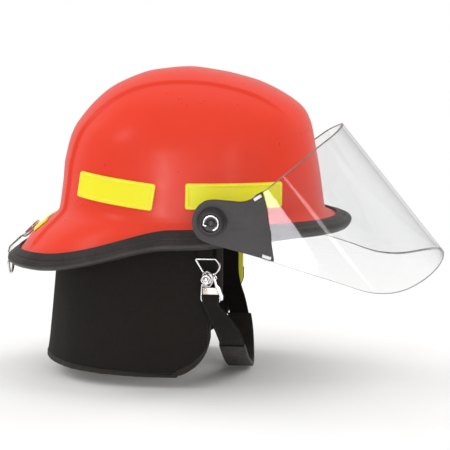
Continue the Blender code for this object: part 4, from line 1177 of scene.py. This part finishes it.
def edge_piece():
    U, V = lap_edge(0.0, 0.0)
    sway = folds(U, V)
    mid = lap_point(U, V, LAP_T / 2 - sway)
    U2, V2 = lap_edge(0.024, 0.030)
    inner_mid = lap_point(U2, V2, LAP_T / 2 - folds(U2, V2))
    away = mid - inner_mid
    away /= np.linalg.norm(away, axis=1, keepdims=True)
    normal = lap_point(U, V, -1.0 - sway) - lap_point(U, V, LAP_T - sway)
    normal /= np.linalg.norm(normal, axis=1, keepdims=True)
    # section: a folded tape, 5.5 mm in over each face
    section = rounded_path(np.array([(-5.4, 1.30), (-5.4, 1.62), (0.4, 1.62), (1.0, 0.0), (0.4, -1.62), (-5.4, -1.62), (-5.4, -1.30), (-0.3, -1.30), (-0.3, 1.30)], float),
                           [0.14, 0.16, 1.0, 1.0, 1.0, 0.16, 0.14, 0.2, 0.2], 3)
    # the inward reach follows the sheet itself
    reach = np.linalg.norm(mid - inner_mid, axis=1)
    points = np.empty((len(mid), len(section), 3))
    for s, (a, h) in enumerate(section):
        f = np.clip(-a / reach, 0, 1.5)[:, None]
        base = np.where(a < 0, mid + (inner_mid - mid) * f, mid + away * a)
        points[:, s] = base + normal * h
    n, m = points.shape[:2]
    i, j = np.meshgrid(np.arange(n - 1), np.arange(m), indexing="ij")
    faces = np.stack([i * m + j, i * m + (j + 1) % m, (i + 1) * m + (j + 1) % m, (i + 1) * m + j], -1).reshape(-1, 4).tolist()
    faces.append(list(range(m - 1, -1, -1)))
    faces.append([(n - 1) * m + s for s in range(m)])
    run = np.concatenate([[0], np.cumsum(np.linalg.norm(np.diff(mid, axis=0), axis=1))])
    uv = np.stack(np.broadcast_arrays(run[:, None], np.cumsum(np.r_[0, np.hypot(*np.diff(section, axis=0).T)])[None]), -1).reshape(-1, 2)
    obj = mesh_piece("curtain_binding", points.reshape(-1, 3), faces, [binding], sharp=60, uv=uv)
    return obj


hem = edge_piece()
U, V = lap_edge(0.026, 0.029)
sway = folds(U, V)
line = lap_point(U, V, -0.42 - sway)
out_dir = lap_point(U, V, -2 - sway) - lap_point(U, V, 2 - sway)
hem_thread = stitches("curtain_stitches", line, out_dir, thread, 3.2, 2.1, 0.26)
with_body(hem, "shell")
with_body(hem_thread, "shell")


# ---------------------------------------------------------------- webbing
def strap_mesh(name, path, half, thick, across, look, edge_look=None, ribs=None, cols=25):
    """A woven strap with rounded edges and raised cross ribs; path, half widths and across directions per row."""
    path = np.asarray(path, float)
    n = len(path)
    half = np.broadcast_to(np.asarray(half, float), (n,))
    w = np.broadcast_to(np.asarray(across, float), (n, 3)).copy()
    tangent = np.gradient(path, axis=0)
    tangent /= np.linalg.norm(tangent, axis=1, keepdims=True)
    w -= tangent * (w * tangent).sum(1, keepdims=True) * 0
    w /= np.linalg.norm(w, axis=1, keepdims=True)
    normal = np.cross(tangent, w)
    normal /= np.linalg.norm(normal, axis=1, keepdims=True)
    s = np.concatenate([[-1, -0.985, -0.95, -0.90], np.linspace(-0.84, 0.84, cols), [0.90, 0.95, 0.985, 1]])
    run = np.concatenate([[0], np.cumsum(np.linalg.norm(np.diff(path, axis=0), axis=1))])
    edge = np.sqrt(np.clip(1 - ((np.abs(s) - 0.9) / 0.1) ** 2 * (np.abs(s) > 0.9), 0.02, 1))
    rib = 0.07 * np.sin(run * 2 * math.pi / 1.25)[:, None] * (np.abs(s) < 0.9)[None] if ribs is None else ribs(run, s)
    selvedge = 0.10 * np.exp(-((np.abs(s) - 0.88) / 0.035) ** 2)
    h = (thick / 2 - 0.12) * edge[None] + rib + selvedge[None]
    base = path[:, None] + w[:, None] * (half[:, None] * s[None])[..., None]
    outer = base + normal[:, None] * h[..., None]
    inner = base - normal[:, None] * h[..., None]
    uv_x = half[:, None] * s[None]
    uv = np.stack([uv_x, np.broadcast_to(run[:, None], uv_x.shape)], -1).reshape(-1, 2)
    obj = two_sided(name, outer, inner, [look], sharp=50, uv=False)
    layer = obj.data.uv_layers.new(name="UVMap")
    index = np.empty(len(obj.data.loops), np.int32)
    obj.data.loops.foreach_get("vertex_index", index)
    layer.data.foreach_set("uv", (np.concatenate([uv, uv])[index] * MM).ravel())
    return obj, normal, w, run


def resample(path, step, *extras):
    path = np.asarray(path, float)
    run = np.concatenate([[0], np.cumsum(np.linalg.norm(np.diff(path, axis=0), axis=1))])
    s = np.linspace(0, run[-1], max(int(run[-1] / step), 4) + 1)
    out = [np.stack([np.interp(s, run, path[:, k]) for k in range(3)], -1)]
    for e in extras:
        out.append(np.interp(s, run, e))
    return out if extras else out[0]


STRAP = [(33, -105, -70.6), (36.5, -105, -77), (41, -104.8, -85), (46, -103.2, -94), (48.5, -97, -103), (49.8, -84, -113), (50.8, -62, -125),
         (51.6, -32, -139.5), (52, 0, -148.5), (50, 28, -141), (46, 57, -121), (39, 80, -99), (31, 91, -76), (30, 93.3, -50), (30, 93.3, 9)]
STRAP_HALF = [8, 8.7, 9.8, 10.4, 10.3, 10, 10, 10, 10, 10, 10, 10, 10, 10, 10]
line = catmull(STRAP, 10)
halves = np.interp(np.linspace(0, len(STRAP) - 1, len(line)), np.arange(len(STRAP)), STRAP_HALF)
# the near end goes up through the loop, over its bar and down again inside
loop_end = np.array([(32.6, -106.2, -60.4), (32.6, -106.35, -64), (32.8, -106.2, -67.5)])
up = catmull(np.vstack([loop_end, line[:1] + (0, -0.35, 0), line[6:7]]), 8)
keep = up[: len(up) - 8]
widen = np.interp(np.arange(len(line)), [0, 20, 40, 52, 64], [0, 1.4, 1.9, 1.0, 0])
line = line + np.stack([widen, 0 * widen, 0 * widen], -1)
halves = halves + widen
line = np.vstack([keep[:-1], line[0:]])
halves = np.concatenate([np.linspace(8.3, 8.0, len(keep) - 1), halves])
line, halves = resample(line, 0.42, halves)
belt, belt_n, belt_w, belt_run = strap_mesh("chin_webbing", line, halves, 1.8, (1, 0, 0), webbing)
stitch_rows = []
for s in (-0.80, 0.80):
    sel = slice(0, len(line), 6)
    stitch_rows.append(stitches("chin_stitch", (line + belt_w * (halves * s)[:, None])[sel], -belt_n[sel] * np.sign(-belt_n[sel][:1, 1:2] * -1), thread, 2.6, 1.8, 0.18, 0.80))
belt = join("chin_webbing_sewn", [belt, *stitch_rows])


def part_of(obj, name, keep):
    """A copy of the piece that holds only the faces whose middle passes keep."""
    bm = bmesh.new()
    bm.from_mesh(obj.data)
    bmesh.ops.delete(bm, geom=[f for f in bm.faces if not keep(f.calc_center_median())], context="FACES")
    mesh = bpy.data.meshes.new(name)
    for m in obj.data.materials:
        mesh.materials.append(m)
    bm.to_mesh(mesh)
    bm.free()
    copy = bpy.data.objects.new(name, mesh)
    scene.collection.objects.link(copy)
    return copy


# the strap is two pieces that meet inside the sleeve: the far one rides on the shell, the near one starts at the loop
# and is attached to no body
MEET = 0.001
near_belt = part_of(belt, "chin_webbing_near", lambda c: c.y < MEET)
far_belt = part_of(belt, "chin_webbing_far", lambda c: c.y >= MEET)
bpy.data.objects.remove(belt)
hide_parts("chin_strap")
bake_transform(near_belt)
put(far_belt, "chin_strap", "shell")

sleeve_line = line[line[:, 2] < -112]
section = rounded_path(np.array([(-12.4, -2.45), (12.4, -2.45), (12.4, 2.45), (-12.4, 2.45)], float), 1.3, 5)
inside = rounded_path(np.array([(-10.7, -1.5), (10.7, -1.5), (10.7, 1.5), (-10.7, 1.5)], float), 0.4, 5)


def sleeve_mesh():
    t = np.gradient(sleeve_line, axis=0)
    t /= np.linalg.norm(t, axis=1, keepdims=True)
    w = np.array((1.0, 0, 0))
    n = np.cross(t, w)
    n /= np.linalg.norm(n, axis=1, keepdims=True)
    run = np.concatenate([[0], np.cumsum(np.linalg.norm(np.diff(sleeve_line, axis=0), axis=1))])
    wrinkle = 0.16 * np.sin(run * 0.55) + 0.10 * np.sin(run * 1.31 + 1)
    quilt = -0.5 * np.exp(-((run[-1] / 2 - np.abs(run - run[-1] / 2)) / 2.2 - 1.6) ** 2)
    out = sleeve_line[:, None] + w * section[None, :, :1] + n[:, None] * (section[None, :, 1:] * (1 + (wrinkle + quilt)[:, None, None] * 0.12))
    inn = sleeve_line[:, None] + w * inside[None, :, :1] + n[:, None] * inside[None, :, 1:]
    return two_sided("chin_sleeve_skin", out, inn, [leather], wrap=True, sharp=60)


put(sleeve_mesh(), "chin_sleeve")

BAND = (5.0, 97.0, 78.5)
arc = np.linspace(0, math.pi, 420)
long_path = np.stack([BAND[0] + (BAND[1] - 1) * np.cos(arc), 0 * arc, 25 + 92.4 * np.sin(arc)], -1)
cross_path = np.stack([np.full(420, BAND[0]), (BAND[2] - 1) * np.cos(arc), 25 + 95.5 * np.sin(arc)], -1)
for name, path, across in (("crown_strap_long", long_path, (0, 1, 0)), ("crown_strap_cross", cross_path, (1, 0, 0))):
    path = resample(path, 0.62)
    obj, *_ = strap_mesh(name + "_web", path, 12.5, 1.5, across, webbing)
    put(obj, name)

# ---------------------------------------------------------------- headband and pads
a = np.linspace(-math.radians(152), math.radians(152), 300)
z = np.concatenate([[-6, -5.8, -5.3], np.linspace(-4.4, 22.4, 24), [23.3, 23.8, 24]])
Z, A = np.meshgrid(z, a, indexing="ij")
near_edge = np.minimum(Z + 6, 24 - Z)
r = 0.8 * np.sqrt(np.clip(1 - (1 - np.clip(near_edge / 0.8, 0, 1)) ** 2, 0.04, 1))
wide_slot = (np.abs(((np.degrees(A) + 180) % 24) - 12) < 6.5) & (np.abs(Z - 9) < 2.6)
press = -0.35 * smooth((7.5 - np.abs(Z - 9)) / 1.0)


def band(off):
    return np.stack([BAND[0] + (BAND[1] - off) * np.cos(A), (BAND[2] - off) * np.sin(A), Z], -1)


obj = two_sided("headband_strip", band(0.8 - r - press * (near_edge > 1) * 1.0), band(0.8 + r), [black_plastic], sharp=35)
put(obj, "headband")


def soft_box(name, low_a, high_a, inset0, inset1, z0, z1, look, replaced):
    """A sewn pad along the headband: full in the middle, drawn in at its seams and quilting lines."""
    a = np.linspace(low_a, high_a, 260)
    z = np.concatenate([np.linspace(z0, z0 + 3, 8), np.linspace(z0 + 3, z1 - 3, 26)[1:-1], np.linspace(z1 - 3, z1, 8)])
    Z, A = np.meshgrid(z, a, indexing="ij")
    edge_z = np.minimum(Z - z0, z1 - Z)
    edge_a = np.minimum(A - low_a, high_a - A) * 90
    e = np.clip(np.minimum(edge_z, edge_a) / 5.0, 0, 1)
    puff = np.sqrt(np.clip(1 - (1 - e) ** 2, 0, 1))
    seam = np.exp(-((((np.degrees(A) + 180) % 13) - 6.5) / 0.5) ** 2)
    row = np.exp(-((Z - 9) / 0.6) ** 2)
    dent = 1 - 0.28 * np.maximum(seam, row)
    rumple = 0.10 * np.sin(Z * 1.7 + 20 * A) + 0.08 * np.sin(60 * A + 2 * np.sin(Z))
    thick = (inset1 - inset0) * (0.22 + 0.78 * puff * dent) + rumple * e
    outer = np.stack([BAND[0] + (BAND[1] - inset0 - 0.1 * (1 - e)) * np.cos(A), (BAND[2] - inset0) * np.sin(A), Z], -1)
    inner = np.stack([BAND[0] + (BAND[1] - inset0 - thick) * np.cos(A), (BAND[2] - inset0 - thick) * np.sin(A), Z], -1)
    obj = two_sided(name, outer, inner, [look], sharp=0)
    put(obj, replaced)
    return obj


soft_box("brow_pad_sewn", -math.radians(52), math.radians(52), 2.0, 7.0, -4, 22, pad_cloth, "brow_pad")
prof = catmull([(0, 115.2), (9, 115.1), (15.5, 114.7), (18.9, 113.6), (20, 112.2), (19.0, 110.9), (15.5, 110.5), (8, 110.4), (0, 110.4)], 5)
prof[:, 0] = np.clip(prof[:, 0], 0, None)
prof[0, 0] = prof[-1, 0] = 0
pad = lathe("crown_pad_sewn", [tuple(p) for p in prof], (BAND[0], 0, 0), "z", pad_cloth, 96, None, 0)
put(pad, "crown_pad")

# ---------------------------------------------------------------- right side hardware
CLIP_Y = -104.6
tab = resample([(27.5, -104.6, -1.6), (27.5, -104.6, -24.8)], 0.4)
obj, *_ = strap_mesh("ring_tab", tab, 7.5, 1.8, (1, 0, 0), webbing)
put(obj, "ring_hanger")
ring = rounded_path(np.array([(18.2, -26.4), (37.6, -26.4), (41.2, -31.4), (40.4, -36.2), (36.6, -40.8), (28.0, -40.8), (25.6, -38.8)], float), 1.5, 6)
path = np.stack([ring[:, 0], np.full(len(ring), CLIP_Y), ring[:, 1]], -1)
put(tube("ring_wire", path, 1.15, steel, True, 16, 1.0), "strap_ring")
hook = rounded_path(np.array([(24.6, -42.6), (27.6, -40.2), (33.0, -40.6), (35.0, -43.6), (34.8, -49.4), (32.6, -53.4), (26.0, -53.4), (24.0, -49)], float), 1.6, 5)
body = plate("hook_body", hook, CLIP_Y - 1.3, CLIP_Y + 1.4, steel_mid, (), 0.6, 3)
boss = lathe("hook_boss", soft_profile([(0, 3.0), (1.5, 2.9), (1.9, 2.4), (2.3, 1.7), (2.9, 1.5), (4.1, 1.9), (4.9, 1.5), (5.2, 0.8), (5.2, 0), (0, 0)], 0.25, 3), (28.3, CLIP_Y - 1.2, -45.6), "-y", steel, 48)
gate = tube("hook_gate", catmull([(31.2, CLIP_Y - 1.9, -38.4), (33.8, CLIP_Y - 2.3, -41.2), (35.0, CLIP_Y - 2.2, -44.6), (34.0, CLIP_Y - 2.0, -48.8), (32.0, CLIP_Y - 1.7, -51.8)], 8), 0.85, steel, False, 12)
jaw = tube("hook_jaw", catmull([(25.0, CLIP_Y - 1.2, -43.0), (26.4, CLIP_Y - 2.1, -39.6), (29.4, CLIP_Y - 2.4, -38.0), (31.4, CLIP_Y - 1.6, -38.9)], 8), 1.0, steel, False, 12)
spring = tube("hook_spring", [(30.6 + 0.9 * math.cos(w), CLIP_Y - 2.0 + 0.5 * math.sin(w), -49.9 - w * 0.065) for w in np.linspace(0, 8 * math.pi, 70)], 0.26, steel_dark, False, 8)
crossbar = plate("hook_plate", rounded_path(np.array([(25.4, -53.4), (39.2, -53.4), (40.6, -60.2), (25.2, -60.2)], float), 0.6, 3), CLIP_Y - 1.6, CLIP_Y + 0.4, nickel, (), 0.35, 2)
rivet = lathe("hook_plate_rivet", soft_profile([(0, 0.6), (0.8, 0.5), (1.3, 0.1), (1.3, 0), (0, 0)], 0.1, 2), (27.6, CLIP_Y - 1.5, -55.6), "-y", steel, 24)
put(join("hook_forged", [body, boss, gate, jaw, spring, crossbar, rivet]), "snap_hook")
lever = rounded_path(np.array([(35.4, -42.6), (37.4, -42.2), (39.4, -49.6), (42.2, -52.6), (45.0, -60.6), (44.6, -65.0), (42.4, -65.2), (41.4, -60.4), (38.6, -55.4), (36.8, -50.0)], float), 0.9, 5)
lever_body = plate("lever_body", lever, CLIP_Y - 5.3, CLIP_Y - 3.2, steel, (), 0.5, 3)
lever_pin = lathe("lever_pin", soft_profile([(0, 0.75), (2.3, 0.75), (2.3, 0), (0, 0)], 0.1, 2), (36.8, CLIP_Y - 1.2, -44.0), "-y", steel, 24)
put(join("lever_plate", [lever_body, lever_pin]), "hook_lever")
loop = rounded_path(np.array([(24.3, -50.2), (26.0, -52.4), (38.4, -57.4), (41.6, -64.6), (39.4, -68.5), (25.8, -68.5), (23.6, -64.6)], float), 1.4, 5)
path = np.stack([loop[:, 0], np.full(len(loop), CLIP_Y), loop[:, 1]], -1)
put(tube("loop_wire", path, 1.0, steel, True, 16, 1.0), "strap_loop", "snap_hook")

# ---------------------------------------------------------------- rear hanger
EDGE = shell_base(np.array(math.pi), np.array(15.0))
DOWN = EDGE - shell_base(np.array(math.pi), np.array(14.2))
DOWN /= np.linalg.norm(DOWN)
UP = np.array((DOWN[2], 0, -DOWN[0]))
UP = -UP if UP[2] < 0 else UP
S = SPINE_RAISE


def on_brim(s, n):
    return EDGE + DOWN * s + UP * n


hang = rounded_path(np.array([on_brim(-29, S + 1.7), on_brim(-16.5, S + 1.7), on_brim(-14.5, S + 5.2), on_brim(3, S + 5.2), on_brim(8.6, S + 1.5), on_brim(9.4, -2.6)]), 2.2, 6, closed=False)
hang = resample(hang, 0.7)
put(strap_mesh("hanger_strip", hang, 6, 1.6, (0, 1, 0), steel, ribs=lambda run, s: np.zeros((len(run), len(s))))[0], "rear_hanger_plate")
base = on_brim(-20, S + 4.3)
far, tip = on_brim(-31.5, S + 4.6), on_brim(-35, S + 5.0)
wire = rounded_path(np.array([base + (0, -8.6, 0), far + (0, -8.6, 0), tip + (0, -5.5, 0), tip + (0, 5.5, 0), far + (0, 8.6, 0), base + (0, 8.6, 0)]), 2.2, 6)
put(tube("wire_loop_bent", wire, 1.15, steel, True, 16), "rear_wire_loop")
RING = np.array((-183.4, 0, -46.0))
d = catmull([(-9, 0), (9, 0), (9.6, -1.2), (9.5, -6), (6.5, -12), (0, -14.5), (-6.5, -12), (-9.5, -6), (-9.6, -1.2)], 6, closed=True)
path = np.stack([np.full(len(d), RING[0]), d[:, 0], RING[2] + d[:, 1]], -1)
put(tube("d_ring_bent", path, 1.35, steel, True, 16), "rear_d_ring")

# ---------------------------------------------------------------- solids kept from the model, with their finish
def finish_solid(name, look, bevel=0.0, segments=2):
    o = nodes[name]
    o.data.materials.clear()
    o.data.materials.append(look.mat)
    if bevel:
        weld = o.modifiers.new("weld", "WELD")
        weld.merge_threshold = 1e-5
        m = o.modifiers.new("bevel", "BEVEL")
        m.width = bevel * MM
        m.segments = segments
        m.limit_method = "ANGLE"
        m.angle_limit = math.radians(35)
        m.use_clamp_overlap = True
        m.harden_normals = False


KEPT = {"friction_washer_": (black_plastic, 0.2), "headband_hanger_": (black_plastic, 0.7), "ratchet_housing": (black_plastic, 0.6), "ratchet_pinion": (black_plastic, 0.2),
        "ratchet_knob": (knob_black, 0.5), "rack_tail_": (black_plastic, 0.4), "lap_hook_tape": (tape_hooks, 0.0), "strap_anchor_": (black_plastic, 0.9),
        "anchor_rivet_": (steel, 0.3), "rear_rivet_": (steel, 0.2)}
for name in sorted(nodes):
    for start, (look, bevel) in KEPT.items():
        if name.startswith(start):
            finish_solid(name, look, bevel)

# ---------------------------------------------------------------- floor
disc = circle(0.03, 0.0, 1.3, 96) / 1.0
me = bpy.data.meshes.new("floor")
me.from_pydata([(x, y, -0.1535) for x, y in disc], [], [list(range(len(disc)))])
floor = bpy.data.objects.new("floor", me)
scene.collection.objects.link(floor)
paper = Look("paper_floor", (0.93, 0.925, 0.92), 0.85, spec=0.1)
paper.tint(paper.noise(6, 2), (0.95, 0.945, 0.94), 0.4, 0.6)
paper.shader.inputs["Emission Color"].default_value = (1, 1, 1, 1)
paper.shader.inputs["Emission Strength"].default_value = 0.02
p_coord = paper.node("ShaderNodeTexCoord")
p_len = paper.node("ShaderNodeVectorMath", operation="LENGTH")
paper.link(p_coord.outputs["Object"], p_len.inputs[0])
paper.link(paper.remap(p_len.outputs["Value"], 0.34, 0.95, 1.0, 0.0), paper.shader.inputs["Alpha"])
me.materials.append(paper.mat)
